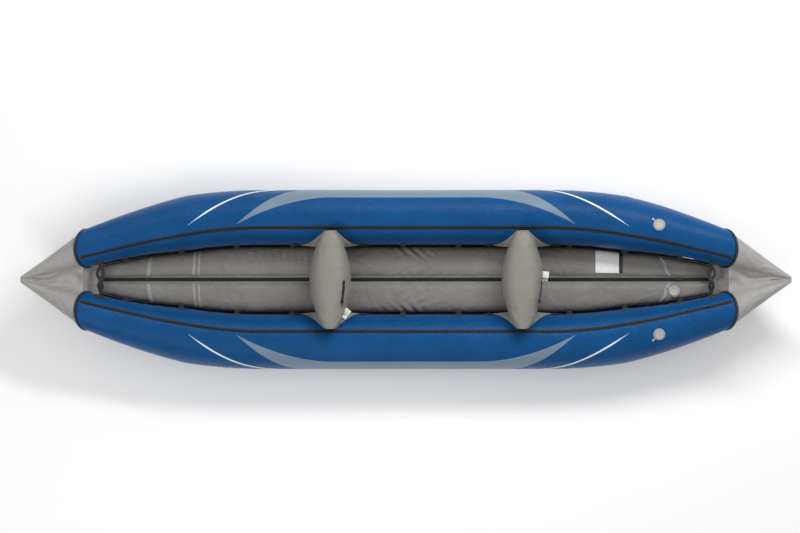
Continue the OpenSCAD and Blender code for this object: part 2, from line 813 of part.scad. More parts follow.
module port_cap_strap() { color(grey) port() on_tube_valve() cap_strap_shape(); }
module floor_cap_strap() { color(grey) on_floor_valve() cap_strap_shape(); }
module bow_handle_anchors() { color(black) bow() handle_anchors_body(); }
module stern_handle_anchors() { color(black) handle_anchors_body(); }
module bow_handle() { color(black) bow() handle_body(); }
module stern_handle() { color(black) handle_body(); }
module front_backrest_shell() {
    color(grey) backrest_shell_body(front_seat_x, front_zip_at, front_valve_y);
}
module front_backrest_bladder() {
    color(film) backrest_bladder_body(front_seat_x, front_valve_y);
}
module front_backrest_zipper() { color(black) backrest_zipper_body(front_seat_x, front_zip_at); }
module front_backrest_zip_slider() { color(black) backrest_slider_body(front_seat_x, front_zip_at); }
module front_seat_valve_tube() {
    color(pale) on_seat_valve(front_seat_x, front_valve_y) seat_valve_tube_shape();
}
module front_seat_valve_cap() {
    color(pale) on_seat_valve(front_seat_x, front_valve_y) seat_valve_cap_shape();
}
module front_seat_wings() { color(grey) wings_body(front_seat_x); }
module front_seat_buckles() { color(black) buckles_body(front_seat_x); }
module rear_backrest_shell() {
    color(grey) backrest_shell_body(rear_seat_x, rear_zip_at, rear_valve_y);
}
module rear_backrest_bladder() {
    color(film) backrest_bladder_body(rear_seat_x, rear_valve_y);
}
module rear_backrest_zipper() { color(black) backrest_zipper_body(rear_seat_x, rear_zip_at); }
module rear_backrest_zip_slider() { color(black) backrest_slider_body(rear_seat_x, rear_zip_at); }
module rear_seat_valve_tube() {
    color(pale) on_seat_valve(rear_seat_x, rear_valve_y) seat_valve_tube_shape();
}
module rear_seat_valve_cap() {
    color(pale) on_seat_valve(rear_seat_x, rear_valve_y) seat_valve_cap_shape();
}
module rear_seat_wings() { color(grey) wings_body(rear_seat_x); }
module rear_seat_buckles() { color(black) buckles_body(rear_seat_x); }

starboard_tube_shell();
starboard_bow_shell();
starboard_stern_shell();
port_tube_shell();
port_bow_shell();
port_stern_shell();
starboard_tube_bladder();
port_tube_bladder();
bow_cap();
stern_cap();
tube_end_piping();
starboard_tube_zipper();
port_tube_zipper();
starboard_zip_slider();
port_zip_slider();
floor_shell();
floor_bladder();
floor_zipper();
floor_zip_slider();
floor_end_panels();
starboard_floor_skirt();
port_floor_skirt();
starboard_lash_tabs();
port_lash_tabs();
floor_label_patch();
floor_strip_patch();
tube_tag_patch();
starboard_valve_body();
port_valve_body();
floor_valve_body();
starboard_valve_cap();
port_valve_cap();
floor_valve_cap();
starboard_valve_poppet();
port_valve_poppet();
floor_valve_poppet();
starboard_valve_spring();
port_valve_spring();
floor_valve_spring();
starboard_cap_strap();
port_cap_strap();
floor_cap_strap();
bow_handle_anchors();
stern_handle_anchors();
bow_handle();
stern_handle();
front_backrest_shell();
front_backrest_bladder();
front_backrest_zipper();
front_backrest_zip_slider();
front_seat_valve_tube();
front_seat_valve_cap();
front_seat_wings();
front_seat_buckles();
rear_backrest_shell();
rear_backrest_bladder();
rear_backrest_zipper();
rear_backrest_zip_slider();
rear_seat_valve_tube();
rear_seat_valve_cap();
rear_seat_wings();
rear_seat_buckles();
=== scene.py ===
"""A two-seat inflatable kayak: detailed tubes, caps, floor, backrests and fittings on the CAD frame.

Metres, in the frame of the CAD model: +X to the stern, +Y to starboard, +Z up.
"""

import math

import bmesh
import bpy
import numpy as np
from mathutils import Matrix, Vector, noise


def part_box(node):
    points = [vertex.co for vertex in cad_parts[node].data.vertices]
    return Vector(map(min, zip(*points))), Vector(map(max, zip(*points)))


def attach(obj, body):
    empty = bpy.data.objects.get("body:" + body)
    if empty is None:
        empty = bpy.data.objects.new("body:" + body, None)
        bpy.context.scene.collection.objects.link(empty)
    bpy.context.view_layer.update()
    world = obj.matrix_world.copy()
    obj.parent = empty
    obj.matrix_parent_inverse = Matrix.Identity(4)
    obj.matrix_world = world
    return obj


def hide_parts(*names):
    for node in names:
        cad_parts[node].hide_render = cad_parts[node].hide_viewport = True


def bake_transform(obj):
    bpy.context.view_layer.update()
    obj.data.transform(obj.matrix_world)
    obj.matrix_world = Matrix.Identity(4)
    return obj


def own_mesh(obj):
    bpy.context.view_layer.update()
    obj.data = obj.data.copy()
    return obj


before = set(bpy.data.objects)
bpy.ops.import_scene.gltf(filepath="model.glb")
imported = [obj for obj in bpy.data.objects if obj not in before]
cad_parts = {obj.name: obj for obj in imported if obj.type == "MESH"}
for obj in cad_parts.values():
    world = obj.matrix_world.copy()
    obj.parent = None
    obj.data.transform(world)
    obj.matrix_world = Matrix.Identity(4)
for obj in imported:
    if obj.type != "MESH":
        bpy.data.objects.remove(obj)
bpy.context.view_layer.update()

# ---------------------------------------------------------------- driving dimensions
RING_X = 1.660          # seam between a tube and its cap
TIP_X = 2.004
TUBE_Y, RING_Y = 0.325, 0.165
TUBE_Z, RING_RISE = 0.145, 0.105
TUBE_R, RING_R, TIP_R = 0.1425, 0.098, 0.007
RING_LEAN = 0.62
BEND_FROM, RISE_FROM, TAPER_FROM, LEAN_FROM = 0.750, 0.900, 1.150, 1.380
CAP_LEAN_RUN = 0.260
FLOOR_GAP, FLOOR_H, FLOOR_X = 0.010, 0.100, 1.600
FLOOR_VALLEY = 0.010
SIDE_H = 0.48
SEATS = {"front": -0.395, "rear": 0.608}
TAG = 0.034  # side of a square seat tag
# middle, width and bow of each tape across the floor
FLOOR_TAPES = ((-1.342, 0.022, 0.012), (-1.108, 0.016, 0.006), (-1.082, 0.012, 0.006), (1.357, 0.020, -0.03))
COIL_R, WIRE_R, COIL_TURNS = 0.005, 0.0006, 5
VALVE_X, VALVE_ANGLE, FLOOR_VALVE_X = 1.319, 80.0, 1.404
SEAT_HALF_W, SEAT_HALF_T, SEAT_END_T, SEAT_TOP = 0.255, 0.102, 0.0235, 0.398
SEAT_LOW = 0.108
SHELF_R = TUBE_R + 0.012
WING_REACH = 0.158
HANDLE_X, HANDLE_RISE = 1.592, 0.034
HANDLE_Z = 0.239
LASH_COUNT, LASH_PITCH = 11, 0.290
ZIP_HALF = 0.0095


# ---------------------------------------------------------------- curves of the hull
def mix(a, b, t):
    return a + (b - a) * t


def smooth(t):
    t = np.clip(t, 0, 1)
    return t * t * (3 - 2 * t)


def spow(v, p):
    return np.sign(v) * np.abs(v) ** p


def beyond(x, start):
    return np.maximum(0, np.abs(x) - start)


def cone_t(x):
    return (np.abs(x) - RING_X) / (TIP_X - RING_X)


def bend_t(x):
    return beyond(x, BEND_FROM) / (RING_X - BEND_FROM)


def rise(x):
    return RING_RISE * (beyond(x, RISE_FROM) / (RING_X - RISE_FROM)) ** 2


def axis_y(x):
    tube = TUBE_Y - (TUBE_Y - RING_Y) * bend_t(x) ** 2
    return np.where(np.abs(x) <= RING_X, tube, mix(RING_Y, TIP_R + 0.0005, cone_t(x)))


def axis_z(x):
    return TUBE_Z + rise(x)


def tube_rad(x):
    tube = TUBE_R - (TUBE_R - RING_R) * beyond(x, TAPER_FROM) / (RING_X - TAPER_FROM)
    return np.where(np.abs(x) <= RING_X, tube, mix(RING_R, TIP_R, cone_t(x)))


def lean(x):
    tube = RING_LEAN * (beyond(x, LEAN_FROM) / (RING_X - LEAN_FROM)) ** 2
    cap = RING_LEAN * np.maximum(0, 1 - (np.abs(x) - RING_X) / CAP_LEAN_RUN)
    return np.where(np.abs(x) <= RING_X, tube, cap)


def zip_angle(x):
    return 112.5 + 12 * np.minimum(1, bend_t(x)) ** 1.5


def tube_pt(x, a, off=0.0):
    """Points at angle a in degrees round the starboard tube, from outboard over the top."""
    x, a = np.broadcast_arrays(np.asarray(x, float), np.asarray(a, float))
    r = tube_rad(x) + off
    c, s = np.cos(np.radians(a)), np.sin(np.radians(a))
    return np.stack([x + np.sign(x) * lean(x) * r * s, axis_y(x) + r * c, axis_z(x) + r * s], -1)


def tube_frame(x, a):
    """(along the tube, round it, outward) unit vectors on the starboard tube."""
    step = 0.002
    along = tube_pt(x + step, a) - tube_pt(x - step, a)
    along /= np.linalg.norm(along)
    out = np.array([0, math.cos(math.radians(a)), math.sin(math.radians(a))])
    out -= along * (out @ along)
    out /= np.linalg.norm(out)
    return along, np.cross(out, along), out


def floor_w(x):
    return axis_y(x) - tube_rad(x) - FLOOR_GAP


def floor_end(x):
    return np.sqrt(1 - (beyond(x, 1.450) / 0.190) ** 2)


def floor_pt(x, t, off=0.0):
    """Points at angle t in degrees round the starboard floor chamber."""
    x, t = np.broadcast_arrays(np.asarray(x, float), np.asarray(t, float))
    w, h = floor_w(x), FLOOR_H * floor_end(x)
    mid = SIDE_H * h
    up = np.where(t > 0, h - mid, mid)
    c, s = np.cos(np.radians(t)), np.sin(np.radians(t))
    y = (w + FLOOR_VALLEY) / 2 + ((w - FLOOR_VALLEY) / 2 + off) * spow(c, 0.6)
    return np.stack([x, y, rise(x) + mid + (up + off) * spow(s, 0.7)], -1)


def seat_t(y):
    return SEAT_END_T + (SEAT_HALF_T - SEAT_END_T) * (1 - (y / SEAT_HALF_W) ** 2)


def seat_hi(y):
    return SEAT_TOP - 0.025 * (y / SEAT_HALF_W) ** 2


def seat_lo(y):
    u, inner = np.abs(y), TUBE_Y - SHELF_R
    over = TUBE_Z + np.sqrt(np.maximum(0, SHELF_R**2 - (TUBE_Y - u) ** 2))
    foot = mix(SEAT_LOW, TUBE_Z, (np.maximum(0, u - 0.150) / (inner - 0.150)) ** 2)
    return np.where(u > inner, over, foot)


def seat_pt(x0, y, a, off=0.0):
    """Points at angle a in degrees round a backrest's section, from its crest towards the stern."""
    y, a = np.broadcast_arrays(np.asarray(y, float), np.asarray(a, float))
    h = (seat_hi(y) - seat_lo(y)) / 2
    c, s = np.cos(np.radians(a)), np.sin(np.radians(a))
    return np.stack(
        [x0 + (seat_t(y) + off) * spow(s, 0.8), y, seat_lo(y) + h + (h + off) * spow(c, 0.9)], -1
    )


PORT = np.array([1.0, -1.0, 1.0])


# ---------------------------------------------------------------- mesh tools
def add_object(name, verts, faces, mat, uv=None, flat=False):
    mesh = bpy.data.meshes.new(name)
    mesh.from_pydata([tuple(map(float, v)) for v in verts], [], faces)
    mesh.update()
    if uv is not None:
        layer = mesh.uv_layers.new(name="UVMap")
        index = np.empty(len(mesh.loops), dtype=np.int32)
        mesh.loops.foreach_get("vertex_index", index)
        layer.data.foreach_set("uv", np.asarray(uv, dtype=np.float32)[index].ravel())
    if not flat:
        mesh.polygons.foreach_set("use_smooth", [True] * len(mesh.polygons))
    obj = bpy.data.objects.new(name, mesh)
    bpy.context.scene.collection.objects.link(obj)
    mesh.materials.append(mat)
    return obj


def grid_uv(grid):
    """Lengths along the middle row and column, in metres, as UVs."""
    rows, cols = grid.shape[:2]
    down = np.linalg.norm(np.diff(grid[:, cols // 2], axis=0), axis=1)
    across = np.linalg.norm(np.diff(grid[rows // 2], axis=0), axis=1)
    u = np.concatenate([[0], np.cumsum(down)])
    v = np.concatenate([[0], np.cumsum(across)])
    return np.stack(np.meshgrid(u, v, indexing="ij"), -1).reshape(-1, 2)


def grid_faces(rows, cols, wrap, first=0):
    faces = []
    for i in range(rows - 1):
        for j in range(cols if wrap else cols - 1):
            a, b = first + i * cols + j, first + i * cols + (j + 1) % cols
            faces.append((a, b, b + cols, a + cols))
    return faces


def surface(name, grid, mat, wrap=True, ends=False, thick=0.0):
    """A mesh over a grid of points, rows by columns; columns run counter-clockwise seen from +X."""
    rows, cols = grid.shape[:2]
    faces = grid_faces(rows, cols, wrap)
    if ends:
        faces.append(tuple(range(cols - 1, -1, -1)))
        faces.append(tuple((rows - 1) * cols + j for j in range(cols)))
    obj = add_object(name, grid.reshape(-1, 3), faces, mat, grid_uv(grid))
    if thick:
        solid = obj.modifiers.new("Thickness", "SOLIDIFY")
        solid.thickness = thick
        solid.offset = -1
    return obj


def flip(grid):
    """A starboard grid as a port one, still facing outward."""
    return grid[:, ::-1] * PORT


def sweep(name, path, mat, radius, closed=False, sides=10):
    """A round cord or welt along a path of points."""
    path = np.asarray(path, float)
    n = len(path)
    if closed:
        tangent = np.roll(path, -1, 0) - np.roll(path, 1, 0)
    else:
        tangent = np.gradient(path, axis=0)
    tangent /= np.linalg.norm(tangent, axis=1)[:, None]
    side = np.cross(tangent[0], [0, 0, 1.0])
    if np.linalg.norm(side) < 0.2:
        side = np.cross(tangent[0], [1.0, 0, 0])
    sides_at = []
    for k in range(n):
        side = side - tangent[k] * (side @ tangent[k])
        side /= np.linalg.norm(side)
        sides_at.append(side)
    e1 = np.array(sides_at)
    e2 = np.cross(tangent, e1)
    ang = np.arange(sides) * 2 * np.pi / sides
    grid = path[:, None] + radius * (
        e1[:, None] * np.cos(ang)[None, :, None] + e2[:, None] * np.sin(ang)[None, :, None]
    )
    if closed:
        grid = np.concatenate([grid, grid[:1]])
    return surface(name, grid, mat, ends=not closed)


def strap(name, path, across, mat, width, thick):
    """Flat webbing along a path; across gives the direction of its width at each point."""
    path, across = np.asarray(path, float), np.asarray(across, float)
    tangent = np.gradient(path, axis=0)
    tangent /= np.linalg.norm(tangent, axis=1)[:, None]
    across = np.broadcast_to(across, path.shape)
    across = across - tangent * (across * tangent).sum(1)[:, None]
    across = across / np.linalg.norm(across, axis=1)[:, None]
    up = np.cross(tangent, across)
    w, t = width / 2, thick / 2
    lip = min(t, w * 0.2)
    shape = [(-w + lip, -t), (w - lip, -t), (w, 0), (w - lip, t), (0, t * 1.08), (-w + lip, t), (-w, 0)]
    grid = np.stack([path + across * a + up * b for a, b in shape], 1)
    return surface(name, grid, mat, ends=True)


def box_mesh(name, centre, axes, size, mat, bevel=0.0015):
    """A rounded block: centre, its three unit axes and its size along them."""
    verts = []
    for sx in (-0.5, 0.5):
        for sy in (-0.5, 0.5):
            for sz in (-0.5, 0.5):
                verts.append(
                    centre + axes[0] * size[0] * sx + axes[1] * size[1] * sy + axes[2] * size[2] * sz
                )
    faces = [(0, 1, 3, 2), (4, 6, 7, 5), (0, 4, 5, 1), (2, 3, 7, 6), (0, 2, 6, 4), (1, 5, 7, 3)]
    obj = add_object(name, verts, faces, mat)
    soft = obj.modifiers.new("Bevel", "BEVEL")
    soft.width = bevel
    soft.segments = 3
    return obj


def join(name, objs):
    """One object from several, with their modifiers applied."""
    graph = bpy.context.evaluated_depsgraph_get()
    verts, faces, uvs, base = [], [], [], 0
    mat = objs[0].data.materials[0]
    for o in objs:
        mesh = bpy.data.meshes.new_from_object(o.evaluated_get(graph))
        has = mesh.uv_layers.active
        spot = np.zeros((len(mesh.vertices), 2))
        if has:
            for loop in mesh.loops:
                spot[loop.vertex_index] = has.data[loop.index].uv
        verts += [o.matrix_world @ v.co for v in mesh.vertices]
        uvs.append(spot)
        faces += [tuple(base + v for v in p.vertices) for p in mesh.polygons]
        base += len(mesh.vertices)
        bpy.data.meshes.remove(mesh)
    for o in objs:
        bpy.data.objects.remove(o)
    return add_object(name, verts, faces, mat, np.concatenate(uvs))


# ---------------------------------------------------------------- materials
def shader(name):
    mat = bpy.data.materials.new(name)
    mat.use_nodes = True
    nodes, links = mat.node_tree.nodes, mat.node_tree.links
    nodes.clear()
    out = nodes.new("ShaderNodeOutputMaterial")
    bsdf = nodes.new("ShaderNodeBsdfPrincipled")
    links.new(bsdf.outputs[0], out.inputs[0])
    return mat, nodes, links, bsdf


def noise_node(nodes, links, coord, scale, detail=3.0, rough=0.55, distort=0.0):
    n = nodes.new("ShaderNodeTexNoise")
    n.inputs["Scale"].default_value = scale
    n.inputs["Detail"].default_value = detail
    n.inputs["Roughness"].default_value = rough
    n.inputs["Distortion"].default_value = distort
    links.new(coord, n.inputs["Vector"])
    return n.outputs["Fac"]


def ramp(nodes, links, fac, stops):
    r = nodes.new("ShaderNodeValToRGB")
    r.color_ramp.elements[0].position = stops[0][0]
    r.color_ramp.elements[0].color = (*stops[0][1], 1)
    r.color_ramp.elements[1].position = stops[-1][0]
    r.color_ramp.elements[1].color = (*stops[-1][1], 1)
    for at, colour in stops[1:-1]:
        r.color_ramp.elements.new(at).color = (*colour, 1)
    links.new(fac, r.inputs[0])
    return r.outputs[0]


def to_range(nodes, links, fac, low, high):
    n = nodes.new("ShaderNodeMapRange")
    n.inputs["To Min"].default_value = low
    n.inputs["To Max"].default_value = high
    links.new(fac, n.inputs["Value"])
    return n.outputs[0]


def wave(nodes, links, coord, scale, axis="X", distort=0.0):
    n = nodes.new("ShaderNodeTexWave")
    n.wave_type = "BANDS"
    n.bands_direction = axis
    n.wave_profile = "SIN"
    n.inputs["Scale"].default_value = scale
    n.inputs["Distortion"].default_value = distort
    links.new(coord, n.inputs["Vector"])
    return n.outputs["Fac"]


def math_node(nodes, links, op, a, b):
    n = nodes.new("ShaderNodeMath")
    n.operation = op
    for k, v in enumerate((a, b)):
        if hasattr(v, "links"):
            links.new(v, n.inputs[k])
        else:
            n.inputs[k].default_value = v
    return n.outputs[0]


def bump(nodes, links, height, distance, strength=1.0, chain=None):
    n = nodes.new("ShaderNodeBump")
    n.inputs["Distance"].default_value = distance
    n.inputs["Strength"].default_value = strength
    links.new(height, n.inputs["Height"])
    if chain is not None:
        links.new(chain, n.inputs["Normal"])
    return n.outputs[0]


def mixed(nodes, links, fac, a, b, how="MIX"):
    n = nodes.new("ShaderNodeMix")
    n.data_type = "RGBA"
    n.blend_type = how
    if hasattr(fac, "links"):
        links.new(fac, n.inputs[0])
    else:
        n.inputs[0].default_value = fac
    for k, v in ((6, a), (7, b)):
        if hasattr(v, "links"):
            links.new(v, n.inputs[k])
        else:
            n.inputs[k].default_value = (*v, 1)
    return n.outputs[2]


def srgb(r, g, b):
    def one(c):
        c /= 255
        return c / 12.92 if c <= 0.04045 else ((c + 0.055) / 1.055) ** 2.4

    return (one(r), one(g), one(b))


def scaled(colour, k):
    return tuple(min(1.0, c * k) for c in colour)


def coated_fabric(name, colour, rough=0.42, mottle=0.10, crease=0.0012, scuffs=0.35, shine=0.4):
    """PVC-coated cloth: a base weave that telegraphs through, soft creases, scuffs and mottling."""
    mat, nodes, links, bsdf = shader(name)
    coord = nodes.new("ShaderNodeTexCoord").outputs["Object"]
    cloud = noise_node(nodes, links, coord, 4.5, 4)
    base = ramp(
        nodes, links, cloud,
        [(0.30, scaled(colour, 1 - mottle)), (0.52, colour), (0.72, scaled(colour, 1 + mottle))],
    )
    speck = noise_node(nodes, links, coord, 260, 2, 0.6)
    speck_mask = ramp(nodes, links, speck, [(0.60, (0, 0, 0)), (0.72, (1, 1, 1))])
    faint = math_node(nodes, links, "MULTIPLY", speck_mask, 0.10)
    base = mixed(nodes, links, faint, base, scaled(colour, 1.5))
    scuff = noise_node(nodes, links, coord, 38, 6, 0.72, 0.6)
    scuff_mask = ramp(nodes, links, scuff, [(0.60, (0, 0, 0)), (0.78, (1, 1, 1))])
    dull = math_node(nodes, links, "MULTIPLY", scuff_mask, 0.22 * scuffs)
    base = mixed(nodes, links, dull, base, scaled(colour, 1.7))
    links.new(base, bsdf.inputs["Base Color"])
    gloss = to_range(nodes, links, scuff, rough - 0.07, rough + 0.13)
    links.new(gloss, bsdf.inputs["Roughness"])
    warp = wave(nodes, links, coord, 190, "X", 0.4)
    weft = wave(nodes, links, coord, 190, "Y", 0.4)
    cloth = math_node(nodes, links, "MULTIPLY", warp, weft)
    grain = noise_node(nodes, links, coord, 900, 2)
    fold = noise_node(nodes, links, coord, 16, 4, 0.5, 0.8)
    n = bump(nodes, links, fold, crease * 3)
    n = bump(nodes, links, grain, 0.00012, 0.8, n)
    n = bump(nodes, links, cloth, 0.00035, 0.7, n)
    links.new(n, bsdf.inputs["Normal"])
    bsdf.inputs["Specular IOR Level"].default_value = shine
    bsdf.inputs["Sheen Weight"].default_value = 0.05
    bsdf.inputs["Coat Weight"].default_value = 0.0
    bsdf.inputs["Coat Roughness"].default_value = 0.3
    return mat


def webbing(name, colour, pitch=0.0022):
    """Woven nylon: a herringbone of ribs along and across the strap."""
    mat, nodes, links, bsdf = shader(name)
    uv = nodes.new("ShaderNodeTexCoord")
    coord = uv.outputs["UV"]
    k = 2 * math.pi / (20 * pitch)
    ribs = wave(nodes, links, coord, k, "DIAGONAL")
    picks = wave(nodes, links, coord, k * 1.4, "Y", 0.5)
    cloth = math_node(nodes, links, "ADD", ribs, picks)
    shade = noise_node(nodes, links, uv.outputs["Object"], 60, 3)
    base = ramp(nodes, links, shade, [(0.3, scaled(colour, 0.7)), (0.75, scaled(colour, 1.6))])
    links.new(base, bsdf.inputs["Base Color"])
    links.new(to_range(nodes, links, ribs, 0.62, 0.85), bsdf.inputs["Roughness"])
    links.new(bump(nodes, links, cloth, 0.0005, 0.9), bsdf.inputs["Normal"])
    bsdf.inputs["Sheen Weight"].default_value = 0.15
    return mat


def moulded(name, colour, rough=0.45, grain=0.00008, mottle=0.05):
    """Injection-moulded plastic with a fine spark-eroded grain and handling marks."""
    mat, nodes, links, bsdf = shader(name)
    coord = nodes.new("ShaderNodeTexCoord").outputs["Object"]
    cloud = noise_node(nodes, links, coord, 35, 3)
    base = ramp(nodes, links, cloud, [(0.3, scaled(colour, 1 - mottle)), (0.7, scaled(colour, 1 + mottle))])
    links.new(base, bsdf.inputs["Base Color"])
    wear = noise_node(nodes, links, coord, 150, 5, 0.7)
    links.new(to_range(nodes, links, wear, rough - 0.1, rough + 0.12), bsdf.inputs["Roughness"])
    fine = noise_node(nodes, links, coord, 2200, 2)
    links.new(bump(nodes, links, fine, grain, 0.7), bsdf.inputs["Normal"])
    return mat


def film(name, colour):
    """Thin translucent-looking urethane film of the bladders inside."""
    mat, nodes, links, bsdf = shader(name)
    coord = nodes.new("ShaderNodeTexCoord").outputs["Object"]
    cloud = noise_node(nodes, links, coord, 9, 4)
    base = ramp(nodes, links, cloud, [(0.3, scaled(colour, 0.9)), (0.7, colour)])
    links.new(base, bsdf.inputs["Base Color"])
    links.new(to_range(nodes, links, cloud, 0.12, 0.28), bsdf.inputs["Roughness"])
    links.new(bump(nodes, links, cloud, 0.002), bsdf.inputs["Normal"])
    return mat


def steel(name):
    mat, nodes, links, bsdf = shader(name)
    coord = nodes.new("ShaderNodeTexCoord").outputs["Object"]
    grain = noise_node(nodes, links, coord, 500, 3)
    base = ramp(nodes, links, grain, [(0.3, (0.5, 0.5, 0.5)), (0.7, (0.62, 0.62, 0.62))])
    links.new(base, bsdf.inputs["Base Color"])
    links.new(to_range(nodes, links, grain, 0.22, 0.4), bsdf.inputs["Roughness"])
    bsdf.inputs["Metallic"].default_value = 1.0
    return mat


BLUE = coated_fabric("blue_fabric", srgb(0, 71, 124), rough=0.25, mottle=0.12, crease=0.0016, shine=0.13)
CAP_GREY = coated_fabric("cap_fabric", srgb(149, 147, 143), rough=0.36, mottle=0.08, crease=0.003)
FLOOR_GREY = coated_fabric(
    "floor_fabric", srgb(122, 119, 114), rough=0.38, mottle=0.12, crease=0.003, scuffs=0.5
)
SEAT_GREY = coated_fabric("seat_fabric", srgb(132, 129, 122), rough=0.45, mottle=0.05, crease=0.001)
# skirt cloth: the skirt is a real part, but its near-black colour is painted shade for the gap between tube
# and floor
SKIRT_PAINTED_SHADE = coated_fabric("skirt_fabric", srgb(38, 40, 42), rough=0.6, mottle=0.15)
PRINT_GREY = coated_fabric("grey_print", srgb(108, 128, 146), rough=0.4, mottle=0.05)
PRINT_WHITE = coated_fabric("white_print", srgb(225, 229, 232), rough=0.4, mottle=0.03)
BLACK_WEB = webbing("black_webbing", srgb(26, 27, 29))
TAPE = webbing("zipper_tape", srgb(13, 18, 26), 0.0014)
TEETH = moulded("zipper_teeth", srgb(10, 13, 18), 0.5)
PIPING = moulded("piping", srgb(24, 26, 29), 0.55)
SLIDER = moulded("zip_slider", srgb(28, 29, 31), 0.4)
BUCKLE = moulded("buckle_plastic", srgb(26, 27, 28), 0.42)
VALVE_GREY = moulded("valve_grey", srgb(150, 156, 158), 0.42)
VALVE_BEIGE = moulded("valve_beige", srgb(168, 166, 156), 0.5)
VALVE_WHITE = moulded("valve_white", srgb(226, 226, 220), 0.4)
PATCH_PALE = moulded("pale_patch", srgb(222, 222, 218), 0.45, 0.00005)
PATCH_DARK = moulded("dark_patch", srgb(32, 33, 34), 0.5, 0.00005)
FILM = film("bladder_film", srgb(206, 211, 216))
STEEL = steel("spring_steel")


def dress(node, mat):
    """A CAD node that stays keeps its mesh and takes a finished material."""
    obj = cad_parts[node]
    for held in obj.material_slots:
        held.link = "OBJECT"
        held.material = mat
    if not obj.material_slots:
        obj.data.materials.append(mat)


# ---------------------------------------------------------------- relief of the cloth
def ripple(points, size, seed):
    """Smooth noise in -1..1 at each point, features about size metres across."""
    flat = points.reshape(-1, 3) / size + seed * 17.3
    return np.array([noise.noise(Vector(p)) for p in flat]).reshape(points.shape[:-1])


def near(v, centre, width):
    return np.exp(-(((v - centre) / width) ** 2))


# ---------------------------------------------------------------- side tubes
def tube_steps(count):
    return np.linspace(-RING_X, RING_X, count)


def tube_relief(x, a, points):
    """Creases where the tube bends, puckers along the zipper and panel seams."""
    bent = smooth((np.abs(x) - 0.70) / 0.5)
    inner = near(a, 165, 45)
    creases = 0.0011 * bent * inner * np.sin(x * 2 * np.pi / 0.085 + 3 * np.sin(x * 9))
    zip_gap = np.abs(a - zip_angle(x))
    pucker = 0.0007 * near(zip_gap, 9, 6) * np.sin(x * 2 * np.pi / 0.033 + 2 * np.sin(x * 21))
    flatten = -0.0012 * near(zip_gap, 0, 5.5)
    seam = 0.0011 * smooth((2.2 - np.abs(a + 62)) / 0.6) + 0.0011 * smooth((2.2 - np.abs(a - 222)) / 0.6)
    return creases + pucker + flatten + seam + 0.0012 * ripple(points, 0.21, 1)


def side_tube(side):
    x, a = np.meshgrid(tube_steps(340), np.arange(120) * 3.0 - 108, indexing="ij")
    base = tube_pt(x, a)
    grid = tube_pt(x, a, tube_relief(x, a, base * (PORT if side == "port" else 1)))
    lip = [tube_pt(x[k], a[k], -0.012)[None] for k in (0, -1)]
    grid = np.concatenate([lip[0], grid, lip[1]])
    if side == "port":
        grid = flip(grid)
    obj = surface(f"{side}_tube", grid, BLUE, thick=0.002)
    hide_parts(f"{side}_tube_shell", f"{side}_bow_shell", f"{side}_stern_shell")
    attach(obj, "hull")


def on_side(grid, side):
    return flip(grid) if side == "port" else grid


def decal(name, side, xs, a_low, a_high, mat, lift=0.0008):
    """A printed band on a tube between two angles that vary along it."""
    t = np.linspace(0, 1, 16)
    x = np.repeat(xs[:, None], len(t), 1)
    a = mix(a_low[:, None], a_high[:, None], t[None])
    base = tube_pt(x, a)
    grid = tube_pt(x, a, tube_relief(x, a, base * (PORT if side == "port" else 1)) + lift)
    obj = surface(name, on_side(grid, side), mat, wrap=False, thick=0.0006)
    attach(obj, "hull")


def band_curve(u, low, high, power):
    return low + (high - low) * np.clip(u, 0, 1) ** power


def graphics(side):
    """A plain sweeping band and a thin line along each tube's outer shoulder."""
    xs = np.linspace(-0.885, 0.882, 230)
    u = (np.abs(xs) - 0.40) / 0.483
    low, high = band_curve(u, -14, 103, 1.4), band_curve(u, 44, 103.5, 1.6)
    decal(f"{side}_grey_band", side, xs, low, high, PRINT_GREY)
    xs = np.linspace(-1.135, 1.160, 260)
    u = np.where(xs < 0, (-xs - 0.606) / 0.529, (xs - 0.679) / 0.481)
    power = np.where(xs < 0, 1.4, 1.1)
    mid = 3 + 92 * np.clip(u, 0, 1) ** power
    half = 2.1 * np.clip((1.0 - u) * 6, 0.15, 1)
    decal(f"{side}_white_line", side, xs, mid - half, mid + half, PRINT_WHITE, 0.0012)


def tube_zipper(side):
    xs = np.linspace(-RING_X + 0.012, RING_X - 0.012, 330)
    profile = [(-1, 0.0), (-0.98, 0.0012), (-0.45, 0.0014), (0.45, 0.0014), (0.98, 0.0012), (1, 0.0)]
    rows = []
    for s, h in profile[::-1]:
        swing = s * ZIP_HALF / tube_rad(xs) * 180 / np.pi
        rows.append(tube_pt(xs, zip_angle(xs) + swing, h - 0.0004))
    tape = surface(f"{side}_zipper_tape", on_side(np.stack(rows, 1)[:, ::-1], side), TAPE, ends=True)
    teeth = zipper_teeth(
        f"{side}_zipper_teeth",
        [tube_tooth(x, side) for x in np.arange(-RING_X + 0.02, RING_X - 0.02, 0.0052)],
    )
    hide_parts(f"{side}_tube_zipper")
    for obj in (tape, teeth):
        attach(obj, "hull")


def tube_tooth(x, side):
    a = float(zip_angle(x))
    along, around, out = tube_frame(x, a)
    spot = tube_pt(x, a, 0.0022)
    if side == "port":
        along, around, out, spot = along * PORT, around * PORT, out * PORT, spot * PORT
    return spot, along, around, out


def zipper_teeth(name, places):
    """Two interlocking rows of small moulded teeth, one block to a tooth."""
    verts, faces = [], []
    ring = [(-0.5, -0.5), (0.5, -0.5), (0.5, 0.1), (0.25, 0.5), (-0.25, 0.5), (-0.5, 0.1)]
    for k, (spot, along, across, out) in enumerate(places):
        shift = 0.0009 if k % 2 else -0.0009
        base = len(verts)
        for end in (-1, 1):
            for a, h in ring:
                verts.append(
                    spot + along * a * 0.0034 + across * (end * 0.0026 + shift) + out * h * 0.0026
                )
        faces.append(tuple(base + i for i in range(5, -1, -1)))
        faces.append(tuple(base + 6 + i for i in range(6)))
        for i in range(6):
            j = (i + 1) % 6
            faces.append((base + i, base + j, base + 6 + j, base + 6 + i))
    return add_object(name, verts, faces, TEETH, flat=True)


